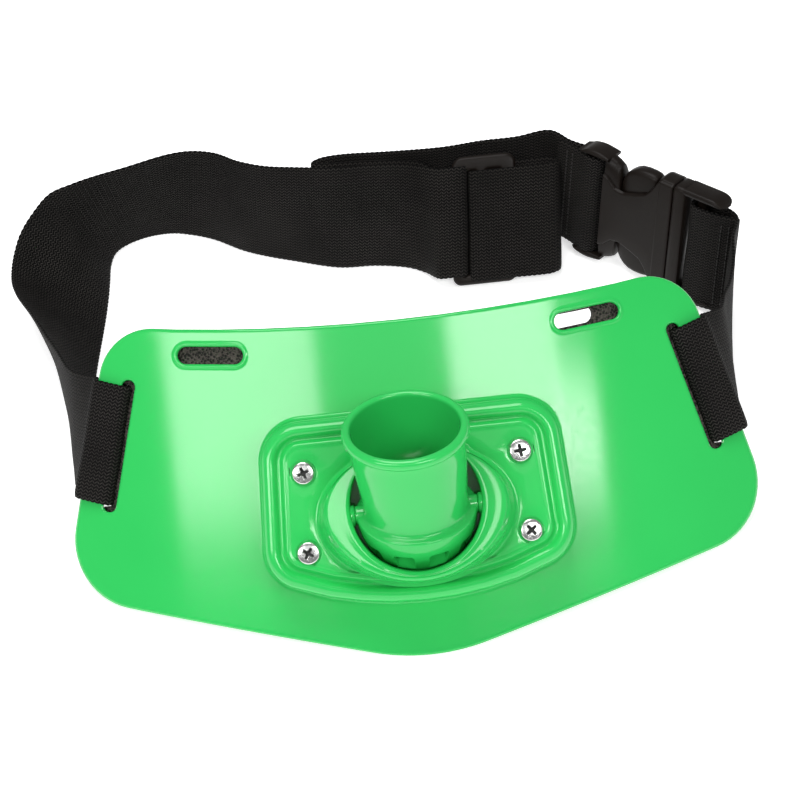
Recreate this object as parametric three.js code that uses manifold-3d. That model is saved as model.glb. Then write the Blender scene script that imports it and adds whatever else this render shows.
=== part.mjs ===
// Fishing fighting belt: a curved belly plate with a tilting rod cup, on a webbing belt with a slider
// and a side-release buckle. Millimetres, +Z up, the plate leans back and its face looks along -Y.
import * as THREE from 'three';
import { mergeVertices } from 'three/addons/utils/BufferGeometryUtils.js';
import Module from 'manifold-3d';

const wasm = await Module();
wasm.setup();
const rad = THREE.MathUtils.degToRad;

// Gaps between neighbouring pieces
const GAP = 0.3;

// Belly plate: seen from its front, u goes across and v up the plate, n out of its face
const PLATE_PITCH = 46; // degrees from the floor to the plate
const PLATE_THICK = 3;
const PLATE_BEND_RADIUS = 270;
const PLATE_HEIGHT = 135; // from the bottom point to the middle of the top edge
const PLATE_LOWER_HALF = 149.1; // half widths and heights at the corners, before rounding
const PLATE_UPPER_HALF = 118.6;
const PLATE_LOWER_RISE = 39.6;
const PLATE_TOP_DIP = 10.1;
const BOTTOM_POINT_RADIUS = 90;
const LOWER_CORNER_RADIUS = 28;
const UPPER_CORNER_RADIUS = 22.5;

// Slots in the plate
const SIDE_SLOT_WIDTH = 5.5;
const SIDE_SLOT_LENGTH = 55;
const SIDE_SLOT_INSET = 13.3; // from the plate's side edge to the slot's middle line
const SIDE_SLOT_V = 95.8;
const TOP_SLOT_LENGTH = 27;
const TOP_SLOT_WIDTH = 7;
const TOP_SLOT_U = 76.5;
const TOP_SLOT_V = 128.6;
const TOP_SLOT_SLOPE = 6.5;

// Foam pad behind the plate
const PAD_THICK = 8;
const PAD_MARGIN = 7;
const PAD_SLOT_CLEARANCE = 4;
const PAD_SLOT_SHIFT = 11; // the right hand slot of the pad sits this much nearer the middle
const PAD_RECESS_DEPTH = 3;

// Raised platform of the plate and the gimbal base on it
const PLATFORM_TOP = 8;
const PLATFORM_LIP = 1.3;
const PLATFORM_WALL = 3;
const BASE_TOP_V = 98.4;
const BASE_BOTTOM_V = 22.8;
const BASE_BOW = 14;
const BASE_UPPER_HALF = 58.6;
const BASE_LOWER_HALF = 62.2;
const BASE_CORNER_RADIUS = 16;
const BASE_THICK = 6;
const BASE_RIDGE_INSET = 3;
const BASE_RIDGE_WIDTH = 5;
const BASE_RIDGE_HEIGHT = 0.8;
const BASE_GROOVE_DEPTH = 1.5;
const BASE_PANEL_INSET = 11.2;

// Collar around the cup
const COLLAR_HALF_WIDTH = 38.6;
const COLLAR_HALF_HEIGHT = 26.8;
const COLLAR_RISE = 23.4;
const COLLAR_TOP_HALF_WIDTH = 30.6;
const COLLAR_TOP_HALF_HEIGHT = 25.4;
const OPENING_HALF_WIDTH = 27.8;
const OPENING_BOTTOM_V = 35.7;
const OPENING_TOP_V = 88;
const OPENING_TOP_RADIUS = 12;

// Rod cup: its hub is a ball on the pivot, its tube leaves along the cup's axis
const PIVOT_V = 59.3;
const PIVOT_N = 20.3;
const CUP_ANGLE = 55; // degrees from the plate's normal up to the cup's axis
const BALL_RADIUS = 25;
const BALL_FOOT = 17; // from the pivot down to the ball's flat foot
const TUBE_LENGTH = 41;
const TUBE_ROOT_RADIUS = 20.7;
const TUBE_MOUTH_RADIUS = 23.3;
const RIM_RADIUS = 24.3;
const RIM_HEIGHT = 2.6;
const BORE_MOUTH_RADIUS = 21.3;
const BORE_ROOT_RADIUS = 18.2;
const BORE_FLOOR = 10; // below the pivot
const WINDOW_COUNT = 16;
const WINDOW_WIDTH = 6.6;
const WINDOW_TOP = 3;
const WINDOW_BOTTOM = 12;
const WINDOW_DEPTH = 4;
const PIN_RADIUS = 2.5;
const PIN_HALF_LENGTH = 33.5;
const PIN_CLEARANCE = 0.3;
const EAR_RADIUS = 6;

// Screws
const SCREW_HEAD_RADIUS = 4.35;
const SCREW_HEAD_HEIGHT = 2.2;
const SCREW_SHANK_RADIUS = 1.7;
const SCREW_LENGTH = 11;
const SCREW_BOSS_RADIUS = 4.6;
const SCREW_PLACES = [
  { name: 'screw_1', u: -43, v: 78 },
  { name: 'screw_2', u: -44.2, v: 46.3 },
  { name: 'screw_3', u: 43, v: 78 },
  { name: 'screw_4', u: 44.2, v: 46.3 },
];

// Webbing and its hardware
const WEBBING_WIDTH = 50;
const WEBBING_THICK = 1.8;
const LAYER_GAP = 0.4;
const SLIDER_PLACE = { x: 28, y: 221.5, lean: 38 };
const SLIDER_LENGTH = 27;
const SLIDER_BAR = 4.5;
const SLIDER_END = 3.5;
const SLIDER_THICK = 4;
const PANEL_LENGTH = 49;
const PANEL_DROP = 2.6; // how far the folded panel sags at its far end
const BUCKLE_PLACE = { x: 87.5, y: 238.2, turn: -41.8, lean: 10 };
const BUCKLE_WIDTH = 56.5;
const BUCKLE_THICK = 11.5;
const BUCKLE_WALL = 2.3;
const SOCKET_LENGTH = 50;
const BUCKLE_LENGTH = 76;
const BUCKLE_BAR = 5;
const BUCKLE_SLOT = 5.5;

// Free webbing from the plate's left edge to the slider, and from the buckle to its right edge.
// x, y, z: the lower edge. tipX, tipY: how far the upper edge leans out, for a width of 1.
const BELT_HALF = 140;
const BELT_DEPTH = 280;
const LEFT_RUN = [
  { x: -1.014, y: 0.371, z: 0.3, tipX: 0.098, tipY: 0.468 },
  { x: -1.021, y: 0.457, z: 0.12, tipX: -0.059, tipY: 0.47 },
  { x: -1.007, y: 0.529, z: 0.04, tipX: -0.247, tipY: 0.474 },
  { x: -0.989, y: 0.6, z: 0.008, tipX: -0.45, tipY: 0.492 },
  { x: -0.971, y: 0.686, z: 0.008, tipX: -0.66, tipY: 0.468 },
  { x: -0.954, y: 0.757, z: 0.008, tipX: -0.774, tipY: 0.442 },
  { x: -0.943, y: 0.807, z: 0.008, tipX: -0.786, tipY: 0.378 },
  { x: -0.936, y: 0.85, z: 0.008, tipX: -0.725, tipY: 0.269 },
  { x: -0.932, y: 0.889, z: 0.008, tipX: -0.598, tipY: 0.147 },
  { x: -0.929, y: 0.929, z: 0.008, tipX: -0.434, tipY: 0.041 },
  { x: -0.911, y: 0.961, z: 0.008, tipX: -0.274, tipY: -0.102 },
  { x: -0.868, y: 0.98, z: 0.008, tipX: -0.188, tipY: -0.149 },
  { x: -0.8, y: 0.993, z: 0.008, tipX: -0.119, tipY: -0.159 },
  { x: -0.721, y: 0.996, z: 0.008, tipX: 0.093, tipY: -0.06 },
  { x: -0.661, y: 0.988, z: 0.008, tipX: 0.133, tipY: 0 },
  { x: -0.581, y: 0.969, z: 0.008, tipX: 0.127, tipY: 0.044 },
  { x: -0.481, y: 0.932, z: 0.008, tipX: 0.062, tipY: 0.093 },
  { x: -0.403, y: 0.911, z: 0.008, tipX: 0.077, tipY: 0.103 },
  { x: -0.324, y: 0.894, z: 0.008, tipX: 0.091, tipY: 0.153 },
  { x: -0.166, y: 0.864, z: 0.008, tipX: 0.087, tipY: 0.286 },
  { x: -0.047, y: 0.859, z: 0.008, tipX: 0.081, tipY: 0.309 },
  { x: 0.06, y: 0.845, z: 0.01, tipX: 0.07, tipY: 0.36 },
  { x: 0.115, y: 0.826, z: 0.02, tipX: 0.04, tipY: 0.47 },
];
const RETURN_RUN = [
  { x: 0.115, y: 0.836, z: 0.02, tipX: 0.04, tipY: 0.47 },
  { x: 0.055, y: 0.855, z: 0.01, tipX: 0.06, tipY: 0.36 },
  { x: -0.047, y: 0.869, z: 0.01, tipX: 0.08, tipY: 0.305 },
  { x: -0.15, y: 0.877, z: 0.01, tipX: 0.085, tipY: 0.265 },
  { x: -0.215, y: 0.888, z: 0.01, tipX: 0.07, tipY: 0.2 },
  { x: -0.24, y: 0.9, z: 0.01, tipX: 0.06, tipY: 0.15 },
  { x: -0.215, y: 0.913, z: 0.01, tipX: 0.06, tipY: 0.12 },
  { x: -0.15, y: 0.917, z: 0.01, tipX: 0.06, tipY: 0.12 },
  { x: 0.02, y: 0.914, z: 0.01, tipX: 0.03, tipY: 0.105 },
  { x: 0.2, y: 0.908, z: 0.01, tipX: 0.02, tipY: 0.12 },
  { x: 0.33, y: 0.903, z: 0.01, tipX: 0.02, tipY: 0.2 },
  { x: 0.44, y: 0.9, z: 0.01, tipX: 0.03, tipY: 0.23 },
];
const RIGHT_RUN = [
  { x: 1.018, y: 0.605, z: 0.07, tipX: 0.13, tipY: 0.13 },
  { x: 1.015, y: 0.545, z: 0.07, tipX: 0.1, tipY: 0.2 },
  { x: 1.01, y: 0.475, z: 0.12, tipX: 0.04, tipY: 0.3 },
  { x: 1.004, y: 0.41, z: 0.22, tipX: -0.04, tipY: 0.4 },
  { x: 1.0, y: 0.35, z: 0.35, tipX: -0.1, tipY: 0.5 },
];

const MATERIALS = {
  green: new THREE.MeshStandardMaterial({ color: 0x30cd5f, roughness: 0.25, metalness: 0 }),
  black: new THREE.MeshStandardMaterial({ color: 0x24211f, roughness: 0.45, metalness: 0 }),
  webbing: new THREE.MeshStandardMaterial({ color: 0x1c1b1a, roughness: 0.9, metalness: 0 }),
  foam: new THREE.MeshStandardMaterial({ color: 0x161616, roughness: 0.95, metalness: 0 }),
  steel: new THREE.MeshStandardMaterial({ color: 0xc8c8c8, roughness: 0.3, metalness: 1 }),
};

// Solids and meshes

function solid(geometry) {
  const plain = geometry.clone();
  plain.deleteAttribute('normal');
  plain.deleteAttribute('uv');
  const merged = mergeVertices(plain);
  return new wasm.Manifold(new wasm.Mesh({
    numProp: 3,
    vertProperties: new Float32Array(merged.attributes.position.array),
    triVerts: new Uint32Array(merged.index.array),
  }));
}

function meshOf(name, body, material) {
  const data = body.getMesh();
  const geometry = new THREE.BufferGeometry();
  geometry.setAttribute('position', new THREE.BufferAttribute(new Float32Array(data.vertProperties), 3));
  geometry.setIndex(new THREE.BufferAttribute(new Uint32Array(data.triVerts), 1));
  geometry.computeVertexNormals();
  const mesh = new THREE.Mesh(geometry, material);
  mesh.name = name;
  return mesh;
}

function prism(shape, low, high, curveSegments = 8) {
  const depth = high - low;
  const geometry = new THREE.ExtrudeGeometry(shape, { depth, bevelEnabled: false, curveSegments });
  geometry.translate(0, 0, low);
  return solid(geometry);
}

function rod(radius, low, high, sides = 20) {
  const geometry = new THREE.CylinderGeometry(radius, radius, high - low, sides);
  geometry.rotateX(Math.PI / 2);
  geometry.translate(0, 0, (low + high) / 2);
  return solid(geometry);
}

function crossRod(radius, low, high, v, n, sides = 20) {
  const geometry = new THREE.CylinderGeometry(radius, radius, high - low, sides);
  geometry.rotateZ(Math.PI / 2);
  geometry.translate((low + high) / 2, v, n);
  return solid(geometry);
}

function block(size, centre) {
  const geometry = new THREE.BoxGeometry(...size);
  geometry.translate(...centre);
  return solid(geometry);
}

// A closed skin through rings of equal count, with a fan at each end
function loft(rings) {
  const count = rings[0].length;
  const positions = rings.flat().flatMap((p) => [p.x, p.y, p.z]);
  const index = [];
  for (let i = 0; i < rings.length - 1; i += 1) {
    for (let k = 0; k < count; k += 1) {
      const next = (k + 1) % count;
      const [a, b] = [i * count + k, i * count + next];
      index.push(a, b, b + count, a, b + count, a + count);
    }
  }
  const last = (rings.length - 1) * count;
  for (let k = 1; k < count - 1; k += 1) {
    index.push(0, k + 1, k);
    index.push(last, last + k, last + k + 1);
  }
  const geometry = new THREE.BufferGeometry();
  geometry.setAttribute('position', new THREE.Float32BufferAttribute(positions, 3));
  geometry.setIndex(index);
  return geometry;
}

// Outlines

// Moves each side of a closed outline inwards, and keeps its corners round
function insetCorners(corners, distance) {
  const count = corners.length;
  return corners.map((corner, i) => {
    const before = corners[(i + count - 1) % count];
    const after = corners[(i + 1) % count];
    const first = new THREE.Vector2(corner.x - before.x, corner.y - before.y).normalize();
    const second = new THREE.Vector2(after.x - corner.x, after.y - corner.y).normalize();
    const inward = new THREE.Vector2(-first.y - second.y, first.x + second.x);
    const scale = distance / (1 + first.dot(second));
    return {
      x: corner.x + inward.x * scale,
      y: corner.y + inward.y * scale,
      radius: corner.radius > 0 ? Math.max(corner.radius - distance, 0.5) : 0,
    };
  });
}

// A closed shape from corners listed anticlockwise, each with its own rounding radius
function roundedShape(corners, arcSteps = 7) {
  const count = corners.length;
  const points = [];
  corners.forEach((corner, i) => {
    const here = new THREE.Vector2(corner.x, corner.y);
    if (!corner.radius) {
      points.push(here);
      return;
    }
    const before = corners[(i + count - 1) % count];
    const after = corners[(i + 1) % count];
    const toBefore = new THREE.Vector2(before.x, before.y).sub(here).normalize();
    const toAfter = new THREE.Vector2(after.x, after.y).sub(here).normalize();
    const half = Math.acos(THREE.MathUtils.clamp(toBefore.dot(toAfter), -1, 1)) / 2;
    const reach = corner.radius / Math.tan(half);
    const middle = toBefore.clone().add(toAfter).normalize();
    const centre = here.clone().addScaledVector(middle, corner.radius / Math.sin(half));
    const start = here.clone().addScaledVector(toBefore, reach).sub(centre);
    const end = here.clone().addScaledVector(toAfter, reach).sub(centre);
    const sweep = Math.atan2(start.cross(end), start.dot(end));
    for (let k = 0; k <= arcSteps; k += 1) {
      points.push(start.clone().rotateAround(new THREE.Vector2(), (sweep * k) / arcSteps).add(centre));
    }
  });
  return new THREE.Shape(points);
}

function mirrored(half) {
  const other = half.filter((c) => c.x > 0).map((c) => ({ ...c, x: -c.x })).reverse();
  return [...half, ...other];
}

function plateCorners() {
  const point = -BOTTOM_POINT_RADIUS * (Math.hypot(1, PLATE_LOWER_RISE / PLATE_LOWER_HALF) - 1);
  const topSteps = 5;
  const half = [
    { x: 0, y: point, radius: BOTTOM_POINT_RADIUS },
    { x: PLATE_LOWER_HALF, y: point + PLATE_LOWER_RISE, radius: LOWER_CORNER_RADIUS },
    { x: PLATE_UPPER_HALF, y: PLATE_HEIGHT + PLATE_TOP_DIP, radius: UPPER_CORNER_RADIUS },
  ];
  for (let k = topSteps; k >= 0; k -= 1) {
    const share = (0.8 * k) / (topSteps + 0.3);
    half.push({ x: PLATE_UPPER_HALF * share, y: PLATE_HEIGHT + PLATE_TOP_DIP * share * share, radius: 0 });
  }
  return mirrored(half);
}

// The plate's side edge as a line, and the side slot's middle line beside it
const sideEdge = (() => {
  const [, lower, upper] = plateCorners();
  const along = new THREE.Vector2(upper.x - lower.x, upper.y - lower.y).normalize();
  const atHeight = (v) => lower.x + ((v - lower.y) * along.x) / along.y;
  return { along, atHeight };
})();
const SIDE_SLOT_U = sideEdge.atHeight(SIDE_SLOT_V) - SIDE_SLOT_INSET / sideEdge.along.y;
const SIDE_SLOT_TURN = Math.atan2(-sideEdge.along.x, sideEdge.along.y);

// A slot with round ends, its long axis along v before it is turned
function slotShape(width, length, u, v, turn) {
  const radius = width / 2;
  const reach = length / 2 - radius;
  const shape = new THREE.Shape();
  shape.absarc(0, reach, radius, 0, Math.PI);
  shape.absarc(0, -reach, radius, Math.PI, 2 * Math.PI);
  const middle = new THREE.Vector2();
  const points = shape.getPoints(6).slice(0, -1);
  return new THREE.Shape(points.map((p) => p.rotateAround(middle, turn).add(new THREE.Vector2(u, v))));
}

function baseCorners() {
  const half = [{ x: 0, y: BASE_BOTTOM_V, radius: 0 }];
  for (const share of [0.2, 0.4, 0.6]) {
    half.push({ x: BASE_LOWER_HALF * share, y: BASE_BOTTOM_V + BASE_BOW * share * share, radius: 0 });
  }
  half.push({ x: BASE_LOWER_HALF, y: BASE_BOTTOM_V + BASE_BOW, radius: BASE_CORNER_RADIUS });
  half.push({ x: BASE_UPPER_HALF, y: BASE_TOP_V, radius: BASE_CORNER_RADIUS });
  return mirrored(half);
}

// Belly plate and pad

// A shell bent about an axis along v, between two depths behind the plate's front face
function bentShell(front, back) {
  const reach = Math.asin(Math.min(0.95, (PLATE_LOWER_HALF + 10) / (PLATE_BEND_RADIUS - back)));
  const outer = PLATE_BEND_RADIUS - front;
  const inner = PLATE_BEND_RADIUS - back;
  const steps = 36;
  const points = [];
  for (let k = 0; k <= steps; k += 1) {
    const angle = -reach + (2 * reach * k) / steps;
    points.push(new THREE.Vector2(outer * Math.sin(angle), outer * Math.cos(angle) - PLATE_BEND_RADIUS));
  }
  for (let k = steps; k >= 0; k -= 1) {
    const angle = -reach + (2 * reach * k) / steps;
    points.push(new THREE.Vector2(inner * Math.sin(angle), inner * Math.cos(angle) - PLATE_BEND_RADIUS));
  }
  const depth = PLATE_HEIGHT + 60;
  const geometry = new THREE.ExtrudeGeometry(new THREE.Shape(points), { depth, bevelEnabled: false });
  geometry.rotateX(Math.PI / 2);
  geometry.translate(0, depth - 30, 0);
  return solid(geometry);
}

const DEEP = -90;
const HIGH = 60;

function sideSlots() {
  return [1, -1].map((side) => prism(
    slotShape(SIDE_SLOT_WIDTH, SIDE_SLOT_LENGTH, side * SIDE_SLOT_U, SIDE_SLOT_V, side * SIDE_SLOT_TURN),
    DEEP, HIGH,
  ));
}

function topSlot(side, shift = 0) {
  const turn = side * rad(TOP_SLOT_SLOPE) + Math.PI / 2;
  const u = side * (TOP_SLOT_U - shift);
  return prism(slotShape(TOP_SLOT_WIDTH, TOP_SLOT_LENGTH, u, TOP_SLOT_V, turn), DEEP, HIGH);
}

function platformSolid() {
  const outline = insetCorners(baseCorners(), -PLATFORM_LIP);
  const room = bentShell(-40, PLATE_THICK);
  let body = prism(roundedShape(outline), DEEP, PLATFORM_TOP).intersect(room);
  const pocket = prism(roundedShape(insetCorners(outline, PLATFORM_WALL)), DEEP, PLATFORM_TOP - PLATFORM_WALL);
  body = body.subtract(pocket);
  for (const place of SCREW_PLACES) {
    const boss = rod(SCREW_BOSS_RADIUS, DEEP, PLATFORM_TOP - 1).translate([place.u, place.v, 0]);
    body = body.add(boss.intersect(room));
  }
  return { body, pocket };
}

function bellyPlate() {
  const outline = prism(roundedShape(plateCorners(), 12), DEEP, HIGH);
  const platform = platformSolid();
  let body = bentShell(0, PLATE_THICK).intersect(outline).subtract(platform.pocket).add(platform.body);
  for (const cut of [...sideSlots(), topSlot(1), topSlot(-1)]) body = body.subtract(cut);
  body = body.subtract(rod(OPENING_HALF_WIDTH, DEEP, HIGH, 40).translate([0, PIVOT_V, 0]));
  for (const place of SCREW_PLACES) {
    body = body.subtract(rod(SCREW_SHANK_RADIUS + GAP, DEEP, HIGH).translate([place.u, place.v, 0]));
  }
  return meshOf('belly_plate', body, MATERIALS.green);
}

function backPad() {
  const front = PLATE_THICK + GAP;
  const corners = insetCorners(plateCorners(), PAD_MARGIN).map((c) => {
    const limit = SIDE_SLOT_U + Math.tan(SIDE_SLOT_TURN) * (SIDE_SLOT_V - c.y)
      - SIDE_SLOT_WIDTH / 2 - PAD_SLOT_CLEARANCE;
    return { ...c, x: Math.sign(c.x) * Math.min(Math.abs(c.x), limit) };
  });
  let body = bentShell(front, front + PAD_THICK).intersect(prism(roundedShape(corners, 8), DEEP, HIGH));
  body = body.subtract(topSlot(1, PAD_SLOT_SHIFT));
  const recess = rod(BALL_RADIUS * 0.65, -front - PAD_RECESS_DEPTH, HIGH, 32).translate([0, PIVOT_V, 0]);
  return meshOf('back_pad', body.subtract(recess), MATERIALS.foam);
}

// Gimbal base

const BASE_BACK = PLATFORM_TOP + GAP;
const BASE_FACE = BASE_BACK + BASE_THICK;

function collarSolid() {
  const sides = 48;
  const sections = [
    { rise: -0.1, wide: 1, high: 1 },
    { rise: 0.12, wide: 0.93, high: 0.9 },
    { rise: 0.4, wide: 0.72, high: 0.62 },
    { rise: 0.7, wide: 0.42, high: 0.3 },
    { rise: 1.08, wide: 0, high: 0 },
  ];
  const middle = OPENING_BOTTOM_V + BALL_RADIUS - 2.9;
  const rings = sections.map(({ rise, wide, high }) => {
    const a = THREE.MathUtils.lerp(COLLAR_TOP_HALF_WIDTH, COLLAR_HALF_WIDTH, wide);
    const b = THREE.MathUtils.lerp(COLLAR_TOP_HALF_HEIGHT, COLLAR_HALF_HEIGHT, high);
    return Array.from({ length: sides }, (_, k) => {
      const t = (2 * Math.PI * k) / sides;
      return new THREE.Vector3(a * Math.cos(t), middle + b * Math.sin(t), BASE_FACE + COLLAR_RISE * rise);
    });
  });
  const low = { v: middle - COLLAR_TOP_HALF_HEIGHT, n: BASE_FACE + COLLAR_RISE };
  const high = { v: middle + COLLAR_HALF_HEIGHT, n: BASE_FACE };
  const slope = Math.atan2(low.n - high.n, high.v - low.v);
  const cut = new THREE.BoxGeometry(200, 200, 60);
  cut.translate(0, 0, 30);
  cut.rotateX(-slope);
  cut.translate(0, low.v, low.n);
  const ears = [1, -1].map((side) => {
    const ends = [side * (BALL_RADIUS - 2), side * (COLLAR_HALF_WIDTH - 5)].sort((p, q) => p - q);
    return crossRod(EAR_RADIUS, ...ends, PIVOT_V, PIVOT_N);
  });
  return { wall: solid(loft(rings)).subtract(solid(cut)), ears: ears[0].add(ears[1]).subtract(solid(cut)) };
}

function openingShape() {
  const bottom = [];
  const centre = OPENING_BOTTOM_V + OPENING_HALF_WIDTH;
  const steps = 20;
  for (let k = 0; k <= steps; k += 1) {
    const t = Math.PI + (Math.PI * k) / steps;
    bottom.push({ x: OPENING_HALF_WIDTH * Math.cos(t), y: centre + OPENING_HALF_WIDTH * Math.sin(t), radius: 0 });
  }
  bottom.push({ x: OPENING_HALF_WIDTH, y: OPENING_TOP_V, radius: OPENING_TOP_RADIUS });
  bottom.push({ x: -OPENING_HALF_WIDTH, y: OPENING_TOP_V, radius: OPENING_TOP_RADIUS });
  return roundedShape(bottom);
}

function gimbalBase() {
  const outline = baseCorners();
  const step = (inset, low, high) => prism(roundedShape(insetCorners(outline, inset)), low, high);
  let body = step(0, BASE_BACK, BASE_FACE - BASE_GROOVE_DEPTH);
  const ridge = step(BASE_RIDGE_INSET, BASE_BACK + 1, BASE_FACE + BASE_RIDGE_HEIGHT)
    .subtract(step(BASE_RIDGE_INSET + BASE_RIDGE_WIDTH, BASE_BACK, HIGH));
  body = body.add(ridge).add(step(BASE_PANEL_INSET, BASE_BACK + 1, BASE_FACE));
  const collar = collarSolid();
  body = body.add(collar.wall).subtract(prism(openingShape(), 0, HIGH)).add(collar.ears);
  const ball = new THREE.SphereGeometry(BALL_RADIUS + 2 * GAP, 36, 18);
  body = body.subtract(solid(ball).translate([0, PIVOT_V, PIVOT_N]));
  const pinHole = PIN_HALF_LENGTH + GAP;
  body = body.subtract(crossRod(PIN_RADIUS + PIN_CLEARANCE, -pinHole, pinHole, PIVOT_V, PIVOT_N));
  for (const place of SCREW_PLACES) {
    body = body.subtract(rod(SCREW_SHANK_RADIUS + GAP, 0, HIGH).translate([place.u, place.v, 0]));
    const seat = rod(SCREW_HEAD_RADIUS + 0.6, BASE_FACE - 0.6, HIGH, 28);
    body = body.subtract(seat.translate([place.u, place.v, 0]));
  }
  return meshOf('gimbal_base', body, MATERIALS.green);
}

// Rod cup and pin

function rodCup() {
  const foot = Math.sqrt(BALL_RADIUS ** 2 - BALL_FOOT ** 2);
  const profile = [[0, -BALL_FOOT], [foot, -BALL_FOOT]];
  const ballSteps = 6;
  const footAngle = Math.asin(BALL_FOOT / BALL_RADIUS);
  for (let k = ballSteps - 1; k >= 0; k -= 1) {
    const angle = (footAngle * k) / ballSteps;
    profile.push([BALL_RADIUS * Math.cos(angle), -BALL_RADIUS * Math.sin(angle)]);
  }
  const wall = RIM_RADIUS - BORE_MOUTH_RADIUS;
  profile.push(
    [BALL_RADIUS - 0.3, 0.9],
    [BALL_RADIUS - 1.2, 1.6],
    [TUBE_ROOT_RADIUS + 1, 2],
    [TUBE_ROOT_RADIUS, 3.6],
    [TUBE_MOUTH_RADIUS, TUBE_LENGTH - RIM_HEIGHT],
    [RIM_RADIUS, TUBE_LENGTH - RIM_HEIGHT * 0.75],
    [RIM_RADIUS, TUBE_LENGTH - RIM_HEIGHT * 0.3],
    [RIM_RADIUS - wall * 0.3, TUBE_LENGTH],
    [BORE_MOUTH_RADIUS + wall * 0.2, TUBE_LENGTH],
    [BORE_MOUTH_RADIUS, TUBE_LENGTH - RIM_HEIGHT * 0.3],
    [BORE_ROOT_RADIUS, -BORE_FLOOR],
    [0, -BORE_FLOOR],
  );
  const lathe = new THREE.LatheGeometry(profile.map(([r, y]) => new THREE.Vector2(r, y)), 44);
  let body = solid(lathe);
  const height = WINDOW_BOTTOM - WINDOW_TOP;
  for (let k = 0; k < WINDOW_COUNT; k += 1) {
    const geometry = new THREE.BoxGeometry(WINDOW_WIDTH, height, WINDOW_DEPTH * 2);
    geometry.translate(0, -(WINDOW_TOP + WINDOW_BOTTOM) / 2, BALL_RADIUS);
    geometry.rotateY((2 * Math.PI * (k + 0.5)) / WINDOW_COUNT);
    if (Math.abs(Math.cos((2 * Math.PI * (k + 0.5)) / WINDOW_COUNT)) > 0.5) body = body.subtract(solid(geometry));
  }
  body = body.subtract(crossRod(PIN_RADIUS + PIN_CLEARANCE, -BALL_RADIUS - 5, BALL_RADIUS + 5, 0, 0));
  return meshOf('rod_cup', body, MATERIALS.green);
}

// Screws

function screwSolid() {
  const r = SCREW_HEAD_RADIUS;
  const h = SCREW_HEAD_HEIGHT;
  const head = new THREE.LatheGeometry([
    new THREE.Vector2(0, -SCREW_LENGTH),
    new THREE.Vector2(SCREW_SHANK_RADIUS, -SCREW_LENGTH),
    new THREE.Vector2(SCREW_SHANK_RADIUS, 0),
    new THREE.Vector2(r, 0),
    new THREE.Vector2(r, h * 0.3),
    new THREE.Vector2(r * 0.85, h * 0.75),
    new THREE.Vector2(r * 0.5, h),
    new THREE.Vector2(0, h),
  ], 24);
  head.rotateX(Math.PI / 2);
  const arm = [r * 1.15, r * 0.28, h];
  const cross = block(arm, [0, 0, h]).add(block([arm[1], arm[0], arm[2]], [0, 0, h]));
  return solid(head).subtract(cross);
}

function screwMesh(place, turn) {
  const mesh = meshOf(place.name, screwSolid(), MATERIALS.steel);
  mesh.position.set(place.u, place.v, BASE_FACE - 0.6 + GAP);
  mesh.rotation.z = turn;
  return mesh;
}

// Frames for the webbing: a runs along the webbing, w across it and q out of its inner side

function tiltedFrame(x, y, turn, lean) {
  const a = new THREE.Vector3(Math.cos(rad(turn)), Math.sin(rad(turn)), 0);
  const back = new THREE.Vector3(-a.y, a.x, 0);
  const w = back.clone().multiplyScalar(Math.sin(rad(lean))).add(new THREE.Vector3(0, 0, Math.cos(rad(lean))));
  const q = a.clone().cross(w);
  return { origin: new THREE.Vector3(x, y, 0), a, w, q };
}

function station(frame, a, q, w) {
  const low = frame.origin.clone().addScaledVector(frame.a, a).addScaledVector(frame.q, q)
    .addScaledVector(frame.w, w);
  return { low, high: low.clone().addScaledVector(frame.w, WEBBING_WIDTH) };
}

function arcStations(frame, centre, radius, from, to, w, steps = 6, lastW = w) {
  return Array.from({ length: steps + 1 }, (_, k) => {
    const t = rad(THREE.MathUtils.lerp(from, to, k / steps));
    const across = THREE.MathUtils.lerp(w, lastW, k / steps);
    return station(frame, centre.a + radius * Math.cos(t), centre.q + radius * Math.sin(t), across);
  });
}

function runStations(rows) {
  return rows.map(({ x, y, z, tipX, tipY }) => {
    const low = new THREE.Vector3(x * BELT_HALF, y * BELT_DEPTH, z * WEBBING_WIDTH);
    const tip = new THREE.Vector3(tipX, tipY, Math.sqrt(1 - tipX * tipX - tipY * tipY));
    return { low, high: low.clone().addScaledVector(tip, WEBBING_WIDTH) };
  });
}

// Webbing through the stations: two edges with a thickness between its faces
function webbing(name, stations) {
  const step = 7;
  const lowCurve = new THREE.CatmullRomCurve3(stations.map((s) => s.low), false, 'centripetal');
  const highCurve = new THREE.CatmullRomCurve3(stations.map((s) => s.high), false, 'centripetal');
  const spans = stations.length - 1;
  const lows = [];
  const highs = [];
  for (let i = 0; i < spans; i += 1) {
    const reach = Math.max(
      stations[i].low.distanceTo(stations[i + 1].low),
      stations[i].high.distanceTo(stations[i + 1].high),
    );
    const cuts = Math.max(1, Math.round(reach / step));
    for (let k = 0; k < cuts; k += 1) {
      lows.push(lowCurve.getPoint((i + k / cuts) / spans));
      highs.push(highCurve.getPoint((i + k / cuts) / spans));
    }
  }
  lows.push(stations[spans].low);
  highs.push(stations[spans].high);
  const rings = lows.map((low, i) => {
    const high = highs[i];
    const [p, n] = [Math.max(0, i - 1), Math.min(lows.length - 1, i + 1)];
    const ahead = lows[n].clone().add(highs[n]).sub(lows[p]).sub(highs[p]);
    const half = ahead.cross(high.clone().sub(low)).normalize().multiplyScalar(WEBBING_THICK / 2);
    return [
      low.clone().add(half), low.clone().sub(half),
      high.clone().sub(half), high.clone().add(half),
    ];
  });
  return meshOf(name, solid(loft(rings)), MATERIALS.webbing);
}

// Loop round the bar outside a side slot, from its tail behind the bar to where it leaves the plate's edge
const platePose = new THREE.Matrix4().makeRotationX(rad(PLATE_PITCH));
const PLATE_LIFT = PLATE_THICK * Math.cos(rad(PLATE_PITCH));
platePose.setPosition(0, 0, PLATE_LIFT);

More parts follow.
